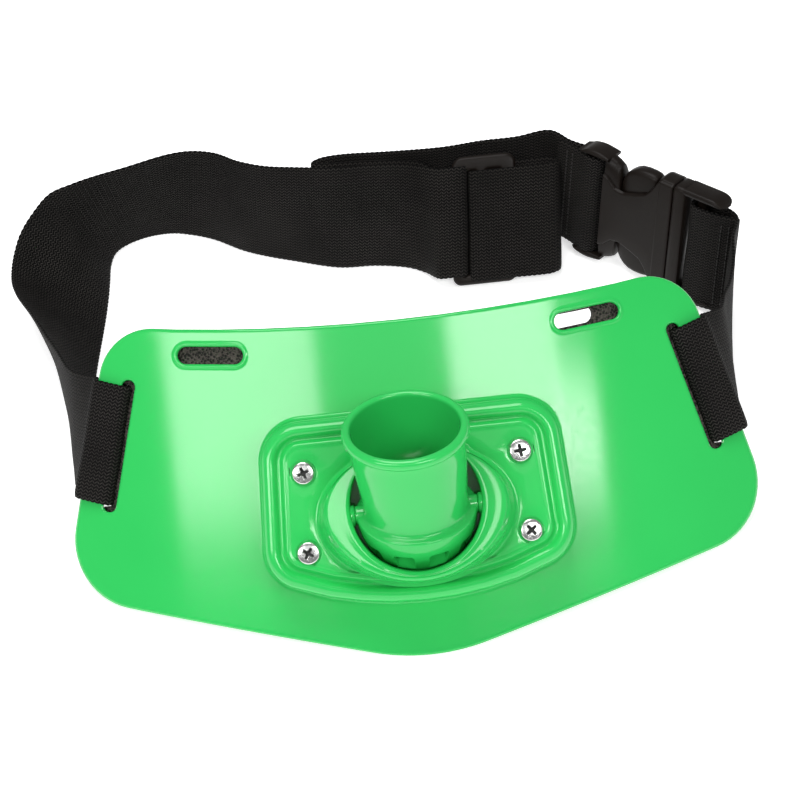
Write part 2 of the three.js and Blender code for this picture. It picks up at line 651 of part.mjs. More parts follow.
function plateLoop(side) {
  const slope = Math.asin(SIDE_SLOT_U / PLATE_BEND_RADIUS);
  const sag = PLATE_BEND_RADIUS * (1 - Math.cos(slope));
  const s = Math.sin(SIDE_SLOT_TURN);
  const along = new THREE.Vector3(-s, Math.cos(SIDE_SLOT_TURN), s * Math.tan(slope)).normalize();
  const out = new THREE.Vector3(Math.sin(slope), 0, Math.cos(slope));
  const across = along.clone().cross(out).normalize();
  const middle = new THREE.Vector3(SIDE_SLOT_U, SIDE_SLOT_V, -sag).addScaledVector(along, -WEBBING_WIDTH / 2);
  const place = (o, m) => {
    const low = middle.clone().addScaledVector(across, o).addScaledVector(out, m);
    const high = low.clone().addScaledVector(along, WEBBING_WIDTH);
    for (const p of [low, high]) {
      p.x *= side;
      p.applyMatrix4(platePose);
    }
    return { low, high };
  };
  const clear = WEBBING_THICK / 2 + GAP + 0.05;
  const barInner = SIDE_SLOT_WIDTH / 2 / Math.cos(slope);
  const barOuter = SIDE_SLOT_INSET / Math.cos(slope);
  const turn = PLATE_THICK / 2 + clear;
  const fall = Math.abs(s) * WEBBING_WIDTH / 2; // how far the webbing's ends reach round the bend
  const behind = (o) => -PLATE_THICK - clear - (o + fall) ** 2 / (2 * (PLATE_BEND_RADIUS - PLATE_THICK));
  const stations = [barOuter - 0.5, (barInner + barOuter) / 2, barInner].map((o) => place(o, behind(o)));
  for (let k = 1; k <= 6; k += 1) {
    const t = rad(270 - 30 * k);
    stations.push(place(barInner + turn * Math.cos(t), -PLATE_THICK / 2 + turn * Math.sin(t)));
  }
  const edge = 1;
  const bend = edge * Math.SQRT2 + clear;
  stations.push(place((barInner + barOuter) / 2, bend - edge));
  for (let k = 0; k <= 3; k += 1) {
    const t = rad(90 - 22 * k);
    stations.push(place(barOuter - edge + bend * Math.cos(t), -edge + bend * Math.sin(t)));
  }
  const corner = barOuter + PLATE_THICK * Math.tan(slope);
  stations.push(place(corner + clear + 0.15, -PLATE_THICK), place(corner + clear + 0.5, -PLATE_THICK - 2));
  return stations;
}

// Slider and the long strap through it

const sliderFrame = tiltedFrame(SLIDER_PLACE.x, SLIDER_PLACE.y, 0, SLIDER_PLACE.lean);
const SLIDER_ROOM = WEBBING_WIDTH + 1.4;
sliderFrame.origin.z = SLIDER_END * Math.cos(rad(SLIDER_PLACE.lean))
  + (SLIDER_THICK / 2) * Math.sin(rad(SLIDER_PLACE.lean));

function frameMatrix(frame) {
  return new THREE.Matrix4().makeBasis(frame.a, frame.w, frame.q).setPosition(frame.origin);
}

function placed(mesh, frame) {
  mesh.applyMatrix4(frameMatrix(frame));
  return mesh;
}

function triGlide() {
  const radius = 4;
  const tall = SLIDER_ROOM + SLIDER_END;
  const frame = [
    { x: 0, y: -SLIDER_END, radius }, { x: SLIDER_LENGTH, y: -SLIDER_END, radius },
    { x: SLIDER_LENGTH, y: tall, radius }, { x: 0, y: tall, radius },
  ];
  let body = prism(roundedShape(frame, 4), -SLIDER_THICK / 2, SLIDER_THICK / 2);
  const slot = (SLIDER_LENGTH - 3 * SLIDER_BAR) / 2;
  for (const low of [SLIDER_BAR, 2 * SLIDER_BAR + slot]) {
    body = body.subtract(block([slot, SLIDER_ROOM, 40], [low + slot / 2, SLIDER_ROOM / 2, 0]));
  }
  return placed(meshOf('tri_glide', body, MATERIALS.black), sliderFrame);
}

function sliderThreading() {
  const w = (SLIDER_ROOM - WEBBING_WIDTH) / 2;
  const layer = SLIDER_THICK / 2 + GAP + WEBBING_THICK / 2 + 0.1;
  const slot = (SLIDER_LENGTH - 3 * SLIDER_BAR) / 2;
  const rise = SLIDER_BAR + slot / 2;
  const back = layer + WEBBING_THICK + LAYER_GAP;
  const foldRadius = (layer + back) / 2;
  const foldMiddle = (layer - back) / 2;
  return [
    station(sliderFrame, -6, -layer, w),
    station(sliderFrame, rise - slot / 2 - 2, -layer, w),
    station(sliderFrame, rise - slot / 2 + 0.4, -layer * 0.95, w),
    station(sliderFrame, rise - 1.1, -layer * 0.55, w),
    station(sliderFrame, rise + 1.1, layer * 0.55, w),
    station(sliderFrame, rise + slot / 2 - 0.4, layer * 0.95, w),
    station(sliderFrame, rise + slot / 2 + 2, layer, w),
    station(sliderFrame, SLIDER_LENGTH, layer, w),
    ...arcStations(sliderFrame, { a: PANEL_LENGTH - foldRadius, q: foldMiddle }, foldRadius, 90, -90, w - PANEL_DROP, 8, w),
    station(sliderFrame, SLIDER_LENGTH, -back, w),
    station(sliderFrame, 0, -back, w),
    station(sliderFrame, -6, -back, w),
  ];
}

// Buckle

const buckleFrame = tiltedFrame(BUCKLE_PLACE.x, BUCKLE_PLACE.y, BUCKLE_PLACE.turn, BUCKLE_PLACE.lean);
buckleFrame.origin.z = (BUCKLE_THICK / 2) * Math.sin(rad(BUCKLE_PLACE.lean));
const BUCKLE_MARGIN = (BUCKLE_WIDTH - WEBBING_WIDTH) / 2;
const SOCKET_BAR_A = BUCKLE_BAR / 2 + 3;
const PRONG_BAR_A = BUCKLE_LENGTH - BUCKLE_BAR / 2 - 4;

// Half outline of the buckle: a along it, half its width at each place
function buckleOutline(rows) {
  const half = rows.map(({ a, half: h }) => ({ x: a, y: h }));
  const points = [...half.map((p) => ({ x: p.x, y: -p.y })), ...half.reverse()];
  return new THREE.Shape(points.map((p) => new THREE.Vector2(p.x, p.y + BUCKLE_WIDTH / 2)));
}

function buckleSocket() {
  const h = BUCKLE_WIDTH / 2;
  const end = SOCKET_LENGTH;
  const outline = buckleOutline([
    { a: 0, half: h - 3 }, { a: 2, half: h - 0.5 }, { a: 6, half: h }, { a: 12, half: h },
    { a: end * 0.36, half: h * 0.93 }, { a: end * 0.46, half: h * 0.78 }, { a: end * 0.54, half: h * 0.65 },
    { a: end * 0.62, half: h * 0.58 }, { a: end * 0.7, half: h * 0.56 }, { a: end * 0.77, half: h * 0.6 },
    { a: end * 0.83, half: h * 0.8 }, { a: end * 0.86, half: h * 0.92 }, { a: end, half: h * 0.88 },
  ]);
  const thick = BUCKLE_THICK / 2;
  let body = prism(outline, -thick, thick);
  const slotLow = SOCKET_BAR_A + BUCKLE_BAR / 2;
  const room = WEBBING_WIDTH + 1.6;
  body = body.subtract(block([BUCKLE_SLOT, room, 40], [slotLow + BUCKLE_SLOT / 2, h, 0]));
  const barRoom = slotLow - BUCKLE_BAR;
  for (const side of [1, -1]) {
    body = body.subtract(block([2 * slotLow, room, thick], [0, h, side * (BUCKLE_BAR / 2 + thick / 2)]));
  }
  body = body.subtract(block([2 * barRoom, room, 40], [0, h, 0]));
  const cavityLow = slotLow + BUCKLE_SLOT + 3;
  const cavity = (end + 5 - cavityLow);
  body = body.subtract(block([cavity, h * 1.1, BUCKLE_THICK - 2 * BUCKLE_WALL], [cavityLow + cavity / 2, h, 0]));
  const window = end * 0.3;
  body = body.subtract(block(
    [window, BUCKLE_WIDTH + 10, BUCKLE_THICK - 2 * BUCKLE_WALL], [end * 0.66, h, 0],
  ));
  return placed(meshOf('buckle_socket', body, MATERIALS.black), buckleFrame);
}

function buckleProng() {
  const h = BUCKLE_WIDTH / 2;
  const end = BUCKLE_LENGTH;
  const low = SOCKET_LENGTH + GAP;
  const thick = BUCKLE_THICK / 2;
  const inner = BUCKLE_THICK / 2 - BUCKLE_WALL - GAP;
  const outline = buckleOutline([
    { a: low, half: h * 0.9 }, { a: low + 3, half: h * 0.93 }, { a: low + 7, half: h },
    { a: end - 5, half: h }, { a: end - 2, half: h * 0.98 }, { a: end, half: h * 0.92 },
  ]);
  let body = prism(outline, -thick, thick);
  const room = WEBBING_WIDTH + 1.6;
  const slotHigh = PRONG_BAR_A - BUCKLE_BAR / 2;
  body = body.subtract(block([BUCKLE_SLOT, room, 40], [slotHigh - BUCKLE_SLOT / 2, h, 0]));
  const past = end - slotHigh;
  for (const side of [1, -1]) {
    body = body.subtract(block(
      [past * 2, room, thick], [end + slotHigh - slotHigh, h, side * (BUCKLE_BAR / 2 + thick / 2)],
    ));
  }
  body = body.subtract(block([40, room, 40], [PRONG_BAR_A + BUCKLE_BAR / 2 + 20, h, 0]));
  const cavityLow = SOCKET_BAR_A + BUCKLE_BAR / 2 + BUCKLE_SLOT + 3;
  const tip = cavityLow + 5;
  for (const side of [1, -1]) {
    const arm = h * 0.42;
    body = body.add(block([low + 1 - tip, 5, 2 * inner], [(low + 1 + tip) / 2, h + side * arm, 0]));
    const button = new THREE.Shape([
      [SOCKET_LENGTH * 0.53, 0.38], [SOCKET_LENGTH * 0.8, 0.38], [SOCKET_LENGTH * 0.8, 0.72],
      [SOCKET_LENGTH * 0.76, 0.84], [SOCKET_LENGTH * 0.7, 0.86], [SOCKET_LENGTH * 0.6, 0.78],
      [SOCKET_LENGTH * 0.53, 0.62],
    ].map(([a, share]) => new THREE.Vector2(a, h + side * share * h)));
    body = body.add(prism(button, -inner, inner));
  }
  body = body.add(block([low + 1 - tip - 2, 4, 2 * inner], [(low + 3 + tip) / 2, h, 0]));
  return placed(meshOf('buckle_prong', body, MATERIALS.black), buckleFrame);
}

const wrapRadius = (BUCKLE_BAR / 2) * Math.SQRT2 + GAP + WEBBING_THICK / 2;
const layerOffset = (WEBBING_THICK + LAYER_GAP) / 2;

function socketWrap() {
  const w = BUCKLE_MARGIN - 0.6;
  const bar = { a: SOCKET_BAR_A, q: 0 };
  return [
    station(buckleFrame, -22, -layerOffset - 1.5, w),
    station(buckleFrame, -10, -layerOffset - 0.5, w),
    station(buckleFrame, -3, -layerOffset - 1.2, w),
    ...arcStations(buckleFrame, bar, wrapRadius, -90, 90, w, 8),
    station(buckleFrame, -3, layerOffset + 1.2, w),
    station(buckleFrame, -10, layerOffset, w),
    station(buckleFrame, -14, layerOffset, w),
  ];
}

function prongWrap() {
  const w = BUCKLE_MARGIN - 0.6;
  const bar = { a: PRONG_BAR_A, q: 0 };
  return [
    station(buckleFrame, PRONG_BAR_A + 13, layerOffset, w),
    station(buckleFrame, PRONG_BAR_A + 7, layerOffset + 0.8, w),
    ...arcStations(buckleFrame, bar, wrapRadius, 90, 270, w, 8),
    station(buckleFrame, PRONG_BAR_A + 7, -layerOffset - 0.8, w),
    station(buckleFrame, PRONG_BAR_A + 10, -layerOffset, w),
  ];
}

function longStrap() {
  return webbing('long_strap', [
    ...plateLoop(-1),
    ...runStations(LEFT_RUN),
    ...sliderThreading(),
    ...runStations(RETURN_RUN),
    ...socketWrap(),
  ]);
}

function shortStrap() {
  return webbing('short_strap', [
    ...prongWrap(),
    ...runStations(RIGHT_RUN),
    ...plateLoop(1).reverse(),
  ]);
}

// Assembly

function pivotPin() {
  const geometry = new THREE.CylinderGeometry(PIN_RADIUS, PIN_RADIUS, 2 * PIN_HALF_LENGTH, 20);
  geometry.rotateZ(Math.PI / 2);
  const mesh = new THREE.Mesh(geometry, MATERIALS.steel);
  mesh.name = 'pivot_pin';
  mesh.position.set(0, PIVOT_V, PIVOT_N);
  return mesh;
}

const plateGroup = new THREE.Group();
plateGroup.applyMatrix4(platePose);
plateGroup.add(bellyPlate(), backPad(), gimbalBase(), pivotPin());
SCREW_PLACES.forEach((place, i) => plateGroup.add(screwMesh(place, rad(20 + 37 * i))));
const cup = rodCup();
cup.position.set(0, PIVOT_V, PIVOT_N);
cup.rotation.x = rad(90 - CUP_ANGLE);
plateGroup.add(cup);

const belt = new THREE.Group();
belt.add(plateGroup, longStrap(), shortStrap(), triGlide(), buckleSocket(), buckleProng());
belt.updateMatrixWorld(true);
const bounds = new THREE.Box3().setFromObject(belt, true);
const middle = bounds.getCenter(new THREE.Vector3());
belt.position.set(-middle.x, -middle.y, -bounds.min.z);

export default belt;
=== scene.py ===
"""Looks of the fishing fighting belt: moulded green plate, base and cup, woven webbing, slider and buckle.

Shapes are worked out in millimetres, in the plate's frame (u across, v up the plate, n out of its face),
in the buckle's and slider's frames (a along the webbing, w across it, q out of it), or in the row frame.
"""
import math
import bmesh
import bpy
import numpy as np
from mathutils import Matrix, Vector
from mathutils.geometry import delaunay_2d_cdt


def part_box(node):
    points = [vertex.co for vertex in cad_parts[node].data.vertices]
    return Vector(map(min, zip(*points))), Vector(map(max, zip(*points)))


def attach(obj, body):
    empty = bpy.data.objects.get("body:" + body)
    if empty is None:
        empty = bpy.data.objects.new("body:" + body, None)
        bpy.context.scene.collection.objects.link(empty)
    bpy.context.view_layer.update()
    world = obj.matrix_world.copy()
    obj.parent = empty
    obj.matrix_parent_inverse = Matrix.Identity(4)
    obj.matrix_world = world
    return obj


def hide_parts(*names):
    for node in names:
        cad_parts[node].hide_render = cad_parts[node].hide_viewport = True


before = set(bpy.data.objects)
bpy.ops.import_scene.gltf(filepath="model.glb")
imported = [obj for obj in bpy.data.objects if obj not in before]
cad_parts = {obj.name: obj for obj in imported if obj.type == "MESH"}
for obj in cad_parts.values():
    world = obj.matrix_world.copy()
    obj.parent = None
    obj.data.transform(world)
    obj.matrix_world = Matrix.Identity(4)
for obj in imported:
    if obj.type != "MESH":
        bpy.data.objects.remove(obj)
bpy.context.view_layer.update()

# ---- Named sizes, as in the part's source ----
PITCH = math.radians(46)
THICK, GAP = 3.0, 0.3
BEND_RADIUS = 270.0
PIVOT_V, PIVOT_N = 59.3, 20.3
CUP_ANGLE = math.radians(55)
BALL_RADIUS = 23.9
PLATFORM_TOP = 8.0
WINDOW_COUNT, WINDOW_WIDTH, WINDOW_TOP = 10, 8.6, 5.8
BASE_BACK, BASE_FACE = 8.3, 14.3
OPENING_HALF = 25.9
WEBBING_WIDTH, WEBBING_THICK = 50.0, 1.8
RIB_PITCH, ROW_PITCH = 2.3, 1.45
SIDE_SLOT_INSET, SIDE_SLOT_V = 13.3, 95.8
SCREWS = {  # place on the base across and up, and turn of the cross in degrees
    "screw_1": (-43, 78, 20), "screw_2": (-44.2, 46.3, 57),
    "screw_3": (43, 78, 96), "screw_4": (44.2, 46.3, 128),
}

U_AXIS = np.array([1.0, 0, 0])
V_AXIS = np.array([0, math.cos(PITCH), math.sin(PITCH)])
N_AXIS = np.array([0, -math.sin(PITCH), math.cos(PITCH)])
pin_low, pin_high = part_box("pivot_pin")
PIVOT = np.array((pin_low + pin_high) / 2) * 1000
PLATE_ORIGIN = PIVOT - PIVOT_V * V_AXIS - PIVOT_N * N_AXIS
FLOOR_ORIGIN = PLATE_ORIGIN - np.array([0, 0, THICK * math.cos(PITCH)])


def unit(v):
    return v / np.maximum(np.linalg.norm(v, axis=-1, keepdims=True), 1e-9)


class Frame:
    """A place and three directions; at() turns local millimetres into the row frame."""

    def __init__(self, origin, x, y, z):
        self.origin, self.axes = np.asarray(origin, float), np.array([x, y, z], float)

    def at(self, points):
        return np.asarray(points, float) @ self.axes + self.origin


PLATE = Frame(PLATE_ORIGIN, U_AXIS, V_AXIS, N_AXIS)
cup_z = math.cos(CUP_ANGLE) * N_AXIS + math.sin(CUP_ANGLE) * V_AXIS
CUP = Frame(PIVOT, U_AXIS, np.cross(cup_z, U_AXIS), cup_z)
ROW = Frame([0, 0, 0], [1, 0, 0], [0, 1, 0], [0, 0, 1])


def webbing_frame(x, y, turn, lean):
    a = np.array([math.cos(math.radians(turn)), math.sin(math.radians(turn)), 0])
    back = np.array([-a[1], a[0], 0])
    w = back * math.sin(math.radians(lean)) + np.array([0, 0, math.cos(math.radians(lean))])
    return Frame(FLOOR_ORIGIN + np.array([x, y, 0]), a, w, np.cross(a, w))


# ---- Materials ----
def material(name, color, roughness, metallic=0.0):
    mat = bpy.data.materials.new(name)
    mat.use_nodes = True
    shader = mat.node_tree.nodes["Principled BSDF"]
    shader.inputs["Base Color"].default_value = (*color, 1)
    shader.inputs["Roughness"].default_value = roughness
    shader.inputs["Metallic"].default_value = metallic
    return mat, mat.node_tree, shader


def node(tree, kind, inputs=None, **settings):
    made = tree.nodes.new(kind)
    for key, value in settings.items():
        setattr(made, key, value)
    for key, value in (inputs or {}).items():
        if isinstance(value, bpy.types.NodeSocket):
            tree.links.new(value, made.inputs[key])
        else:
            made.inputs[key].default_value = value
    return made


def math_node(tree, operation, a, b=0.0):
    return node(tree, "ShaderNodeMath", {0: a, 1: b}, operation=operation).outputs[0]


def times(tree, a, b):
    return math_node(tree, "MULTIPLY", a, b)


def plus(tree, a, b):
    return math_node(tree, "ADD", a, b)


def dial(tree, shader, socket, factor, *stops):
    """Drives a socket by a ramp; a stop's plain number is a grey."""
    stops = [(place, value if isinstance(value, tuple) else (value,) * 3) for place, value in stops]
    tree.links.new(ramp(tree, factor, stops), shader.inputs[socket])


def noise(tree, scale, detail=3.0, roughness=0.5, vector=None):
    inputs = {"Scale": scale, "Detail": detail, "Roughness": roughness}
    inputs["Vector"] = vector or node(tree, "ShaderNodeTexCoord").outputs["Object"]
    return node(tree, "ShaderNodeTexNoise", inputs).outputs["Fac"]


def ramp(tree, factor, stops):
    made = node(tree, "ShaderNodeValToRGB", {"Fac": factor})
    elements = made.color_ramp.elements
    while len(elements) < len(stops):
        elements.new(0.5)
    for element, (place, color) in zip(elements, stops):
        element.position = place
        element.color = (*color, 1)
    return made.outputs["Color"]


def bump(tree, shader, height, strength, distance):
    made = node(tree, "ShaderNodeBump", {"Height": height, "Strength": strength, "Distance": distance})
    tree.links.new(made.outputs["Normal"], shader.inputs["Normal"])
    return made


def green_plastic():
    mat, tree, shader = material("green_plastic", (0.024, 0.5, 0.094), 0.2)
    cloud = noise(tree, 14, 2)
    dial(tree, shader, "Base Color", cloud, (0.3, (0.021, 0.48, 0.089)), (0.7, (0.027, 0.51, 0.098)))
    dial(tree, shader, "Roughness", noise(tree, 420, 4, 0.6), (0.35, 0.11), (0.8, 0.17))
    waves = plus(tree, noise(tree, 30, 2), times(tree, noise(tree, 1500, 2), 0.05))
    bump(tree, shader, waves, 0.05, 0.0005)
    return mat


def black_plastic():
    mat, tree, shader = material("black_plastic", (0.012, 0.0105, 0.0095), 0.42)
    grain = noise(tree, 2600, 3, 0.6)
    worn = noise(tree, 70, 4, 0.6)
    dial(tree, shader, "Base Color", worn, (0.3, (0.0062, 0.0042, 0.0032)), (0.75, (0.0095, 0.0066, 0.005)))
    dial(tree, shader, "Roughness", worn, (0.3, 0.36), (0.8, 0.5))
    bump(tree, shader, grain, 0.25, 0.00012)
    shader.inputs["Specular IOR Level"].default_value = 0.16
    return mat


def webbing_material():
    mat, tree, shader = material("webbing", (0.012, 0.011, 0.0105), 0.7)
    uv = node(tree, "ShaderNodeSeparateXYZ", {0: node(tree, "ShaderNodeTexCoord").outputs["UV"]})
    along, across = uv.outputs[0], uv.outputs[1]
    drift = times(tree, noise(tree, 90, 2), 0.5)
    turns = times(tree, along, 1000 / RIB_PITCH)
    zigzag = math_node(tree, "PINGPONG", turns, 0.5)
    rows = plus(tree, times(tree, across, 1000 / ROW_PITCH), times(tree, zigzag, 1.5))
    rows = plus(tree, rows, drift)
    ridge = math_node(tree, "ABSOLUTE", math_node(tree, "SINE", times(tree, rows, math.pi)))
    rib = math_node(tree, "ABSOLUTE", math_node(tree, "SINE", times(tree, turns, 2 * math.pi)))
    yarn = plus(tree, times(tree, math_node(tree, "POWER", rib, 0.6), 0.4), 0.6)
    weave = times(tree, math_node(tree, "POWER", ridge, 1.3), yarn)
    height = plus(tree, weave, times(tree, noise(tree, 5200, 2, 0.5), 0.2))
    cloud = plus(tree, times(tree, noise(tree, 45, 3), 0.5), 0.75)
    # Painted shade and highlight: the ramp follows the weave's relief, so valleys are painted near black and
    # ridge tops painted bright as a highlight; the cloud's slow change of tone is the webbing's own.
    weave_valley_shade, flank = (0.0003, 0.0003, 0.0003), (0.0016, 0.0014, 0.0012)
    ridge_side, weave_ridge_highlight = (0.012, 0.0108, 0.0098), (0.036, 0.033, 0.03)
    stops = (0.15, weave_valley_shade), (0.45, flank), (0.7, ridge_side), (1.0, weave_ridge_highlight)
    dial(tree, shader, "Base Color", times(tree, weave, cloud), *stops)
    bump(tree, shader, height, 1.0, 0.0007)
    shader.inputs["Specular IOR Level"].default_value = 0.12
    return mat


def thread_material():
    mat, tree, shader = material("thread", (0.02, 0.019, 0.018), 0.6)
    bump(tree, shader, noise(tree, 4000, 2), 0.5, 0.0001)
    return mat


def foam_material():
    mat, tree, shader = material("foam", (0.012, 0.012, 0.013), 0.85)
    place = node(tree, "ShaderNodeTexCoord").outputs["Object"]
    cells = node(tree, "ShaderNodeTexVoronoi", {"Scale": 900.0, "Vector": place})
    lumps = plus(tree, cells.outputs["Distance"], times(tree, noise(tree, 300, 4, 0.6), 0.9))
    # Painted shade and glints: the ramp follows the same lumps as the bump, so pits between cells are painted
    # dark and lump tops pale as painted glints.
    stops = (0.55, (0.004, 0.0035, 0.0032)), (0.85, (0.022, 0.018, 0.016)), (1.0, (0.085, 0.07, 0.063))
    dial(tree, shader, "Base Color", lumps, *stops)
    bump(tree, shader, lumps, 1.0, 0.0015)
    return mat


def steel_material():
    mat, tree, shader = material("steel", (0.74, 0.74, 0.73), 0.22, 1.0)
    scratch = noise(tree, 900, 4, 0.6)
    dial(tree, shader, "Roughness", scratch, (0.35, 0.14), (0.75, 0.34))
    dial(tree, shader, "Base Color", scratch, (0.3, (0.6, 0.6, 0.59)), (0.7, (0.8, 0.8, 0.79)))
    bump(tree, shader, noise(tree, 1600, 3), 0.12, 0.0001)
    return mat


# Painted shade: dark steel for the faces down in the screws' cross recesses, where shade falls.
PAINTED_RECESS_SHADE = material("painted_recess_shade", (0.05, 0.05, 0.05), 0.5, 1.0)[0]
GREEN, BLACK, WEBBING = green_plastic(), black_plastic(), webbing_material()
THREAD, FOAM, STEEL = thread_material(), foam_material(), steel_material()


# ---- Mesh building ----
class Skin:
    """Collects points and faces in local millimetres, then becomes one object."""

    def __init__(self):
        self.points, self.faces = [], []

    def add(self, points):
        start = len(self.points)
        self.points.extend(np.asarray(points, float))
        return start

    def rings(self, rings, closed=True, flip=False):
        """Quads between rings of equal count, in order."""
        starts = [self.add(r) for r in rings]
        count = len(rings[0])
        for low, high in zip(starts, starts[1:]):
            for k in range(count if closed else count - 1):
                m = (k + 1) % count
                face = (low + k, low + m, high + m, high + k)
                self.faces.append(face[::-1] if flip else face)

    def fan(self, ring, flip=False):
        start = self.add(ring)
        face = tuple(range(start, start + len(ring)))
        self.faces.append(face[::-1] if flip else face)

    def cap(self, loops, lift, spacing=None, flip=False):
        """Fills the flat region between closed 2-D loops; lift turns flat points into solid ones."""
        flat, triangles = fill(loops, spacing)
        start = self.add(lift(flat))
        for t in triangles:
            face = tuple(start + int(i) for i in t)
            self.faces.append(face[::-1] if flip else face)

    def build(self, name, place, mat, body, replaces=(), slot=None, sharp=38, weld=0.002):
        mesh = bpy.data.meshes.new(name)
        mesh.from_pydata((place.at(self.points) / 1000).tolist(), [], self.faces)
        work = bmesh.new()
        work.from_mesh(mesh)
        bmesh.ops.remove_doubles(work, verts=work.verts, dist=weld / 1000)
        bmesh.ops.recalc_face_normals(work, faces=work.faces)
        work.to_mesh(mesh)
        work.free()
        return show(mesh, name, mat, body, replaces, sharp)


def linked(name, data):
    made = bpy.data.objects.new(name, data)
    bpy.context.scene.collection.objects.link(made)
    return made


def show(mesh, name, mat, body, replaces=(), sharp=38):
    mesh.shade_smooth()
    mesh.set_sharp_from_angle(angle=math.radians(sharp))
    mesh.materials.append(mat)
    piece = linked(name, mesh)
    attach(piece, body)
    if replaces:
        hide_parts(*replaces)
    return piece


def inside(points, loops):
    """Even-odd test of 2-D points against closed loops."""
    odd = np.zeros(len(points), bool)
    for loop in loops:
        a, b = loop, np.roll(loop, -1, 0)
        for (ax, ay), (bx, by) in zip(a, b):
            cross = (ay > points[:, 1]) != (by > points[:, 1])
            if ay != by:
                at = ax + (points[:, 1] - ay) * (bx - ax) / (by - ay)
                odd ^= cross & (points[:, 0] < at)
    return odd


def fill(loops, spacing=None):
    points = np.concatenate(loops)
    edges, start = [], 0
    for loop in loops:
        n = len(loop)
        edges += [(start + i, start + (i + 1) % n) for i in range(n)]
        start += n
    if spacing:
        low, high = points.min(0), points.max(0)
        xs = np.arange(math.floor(low[0] / spacing), high[0] / spacing + 1) * spacing
        ys = np.arange(math.floor(low[1] / spacing), high[1] / spacing + 1) * spacing
        grid = np.stack(np.meshgrid(xs, ys), -1).reshape(-1, 2)
        grid = grid[inside(grid, loops)]
        gap = np.full(len(grid), spacing)
        for loop in loops:
            a, way = loop[None], (np.roll(loop, -1, 0) - loop)[None]
            share = np.clip(((grid[:, None] - a) * way).sum(2) / np.maximum((way ** 2).sum(2), 1e-9), 0, 1)
            gap = np.minimum(gap, np.linalg.norm(grid[:, None] - a - share[..., None] * way, axis=2).min(1))
        points = np.concatenate([points, grid[gap > 0.55 * spacing]])
    made = delaunay_2d_cdt([Vector(p) for p in points], edges, [], 0, 1e-4)
    flat = np.array([(v.x, v.y) for v in made[0]])
    triangles = np.array([tuple(f) for f in made[2]])
    first, second = (flat[triangles[:, k]] - flat[triangles[:, 0]] for k in (1, 2))
    area = np.abs(first[:, 0] * second[:, 1] - first[:, 1] * second[:, 0]) / 2
    return flat, triangles[inside(flat[triangles].mean(1), loops) & (area > 1e-4)]


def offset(loop, distance):
    """Moves a closed loop to its left: inwards for an anticlockwise one."""
    before = unit(loop - np.roll(loop, 1, 0))
    after = unit(np.roll(loop, -1, 0) - loop)
    first = np.stack([-before[:, 1], before[:, 0]], 1)
    second = np.stack([-after[:, 1], after[:, 0]], 1)
    way = unit(first + second)
    return loop + way * (distance / np.maximum((way * first).sum(1, keepdims=True), 0.5))


def inset_corners(corners, distance):
    out = []
    for i, (x, y, radius) in enumerate(corners):
        here = np.array([x, y])
        before = np.array(corners[i - 1][:2])
        after = np.array(corners[(i + 1) % len(corners)][:2])
        first, second = unit(here - before), unit(after - here)
        way = np.array([-first[1] - second[1], first[0] + second[0]])
        moved = here + way * distance / (1 + first @ second)
        out.append((*moved, max(radius - distance, 0.4) if radius else 0))
    return out


def rounded(corners, arc_steps=12, span=4.0, reference=None):
    """A closed loop with rounded corners; loops of the same reference have matching points."""
    pieces, ends = [], []
    for i, (x, y, radius) in enumerate(corners):
        here = np.array([x, y])
        if not radius:
            pieces.append(np.array([here]))
            continue
        back = unit(np.array(corners[i - 1][:2]) - here)
        ahead = unit(np.array(corners[(i + 1) % len(corners)][:2]) - here)
        half = math.acos(np.clip(back @ ahead, -1, 1)) / 2
        centre = here + unit(back + ahead) * radius / math.sin(half)
        start = here + back * radius / math.tan(half) - centre
        end = here + ahead * radius / math.tan(half) - centre
        sweep = math.atan2(start[0] * end[1] - start[1] * end[0], start @ end)
        turns = sweep * np.linspace(0, 1, arc_steps + 1)
        c, s = np.cos(turns), np.sin(turns)
        pieces.append(np.stack([start[0] * c - start[1] * s, start[0] * s + start[1] * c], 1) + centre)
    if reference is None:
        cuts = []
        for i, piece in enumerate(pieces):
            gap = np.linalg.norm(pieces[(i + 1) % len(pieces)][0] - piece[-1])
            cuts.append(max(1, int(round(gap / span))))
    else:
        cuts = reference
    out = []
    for i, piece in enumerate(pieces):
        out.append(piece)
        nxt = pieces[(i + 1) % len(pieces)][0]
        shares = np.linspace(0, 1, cuts[i] + 1)[1:-1, None]
        out.append(piece[-1] * (1 - shares) + nxt * shares)
    return np.concatenate(out), cuts


def mirrored(half):
    return half + [(-x, y, r) for x, y, r in reversed(half) if x > 0]


def level(loop, height):
    return np.column_stack([loop, np.full(len(loop), float(height))])


def around(count):
    return np.linspace(0, 2 * math.pi, count, endpoint=False)


def capsule(width, length, centre, turn, grow=0.0, steps=10):
    """A clockwise loop round a slot with round ends."""
    r = width / 2 + grow
    reach = (length - width) / 2
    t = np.linspace(0, math.pi, steps)
    top = np.stack([r * np.cos(t), reach + r * np.sin(t)], 1)
    loop = np.concatenate([top, -top])
    side = np.linspace(0, 1, 8)[1:-1, None]
    right = loop[-1] * (1 - side) + loop[0] * side
    left = loop[steps - 1] * (1 - side) + loop[steps] * side
    loop = np.concatenate([loop[:steps], left, loop[steps:], right])
    c, s = math.cos(turn), math.sin(turn)
    return (loop @ np.array([[c, s], [-s, c]]) + np.array(centre))[::-1]


def circle(radius, centre, count=48):
    """A clockwise loop."""
    t = np.linspace(0, -2 * math.pi, count, endpoint=False) - 0.5 * math.pi / count
    return np.stack([radius * np.cos(t), radius * np.sin(t)], 1) + np.array(centre)


def spun(profile, turns):
    """Rings of a profile of (radius, height) about z."""
    t = around(turns)
    return [level(np.stack([r * np.cos(t), r * np.sin(t)], 1), z) for r, z in profile]


def arc(cx, cy, radius, start, end, steps):
    t = np.radians(np.linspace(start, end, steps))
    return [(cx + radius * math.cos(k), cy + radius * math.sin(k)) for k in t]


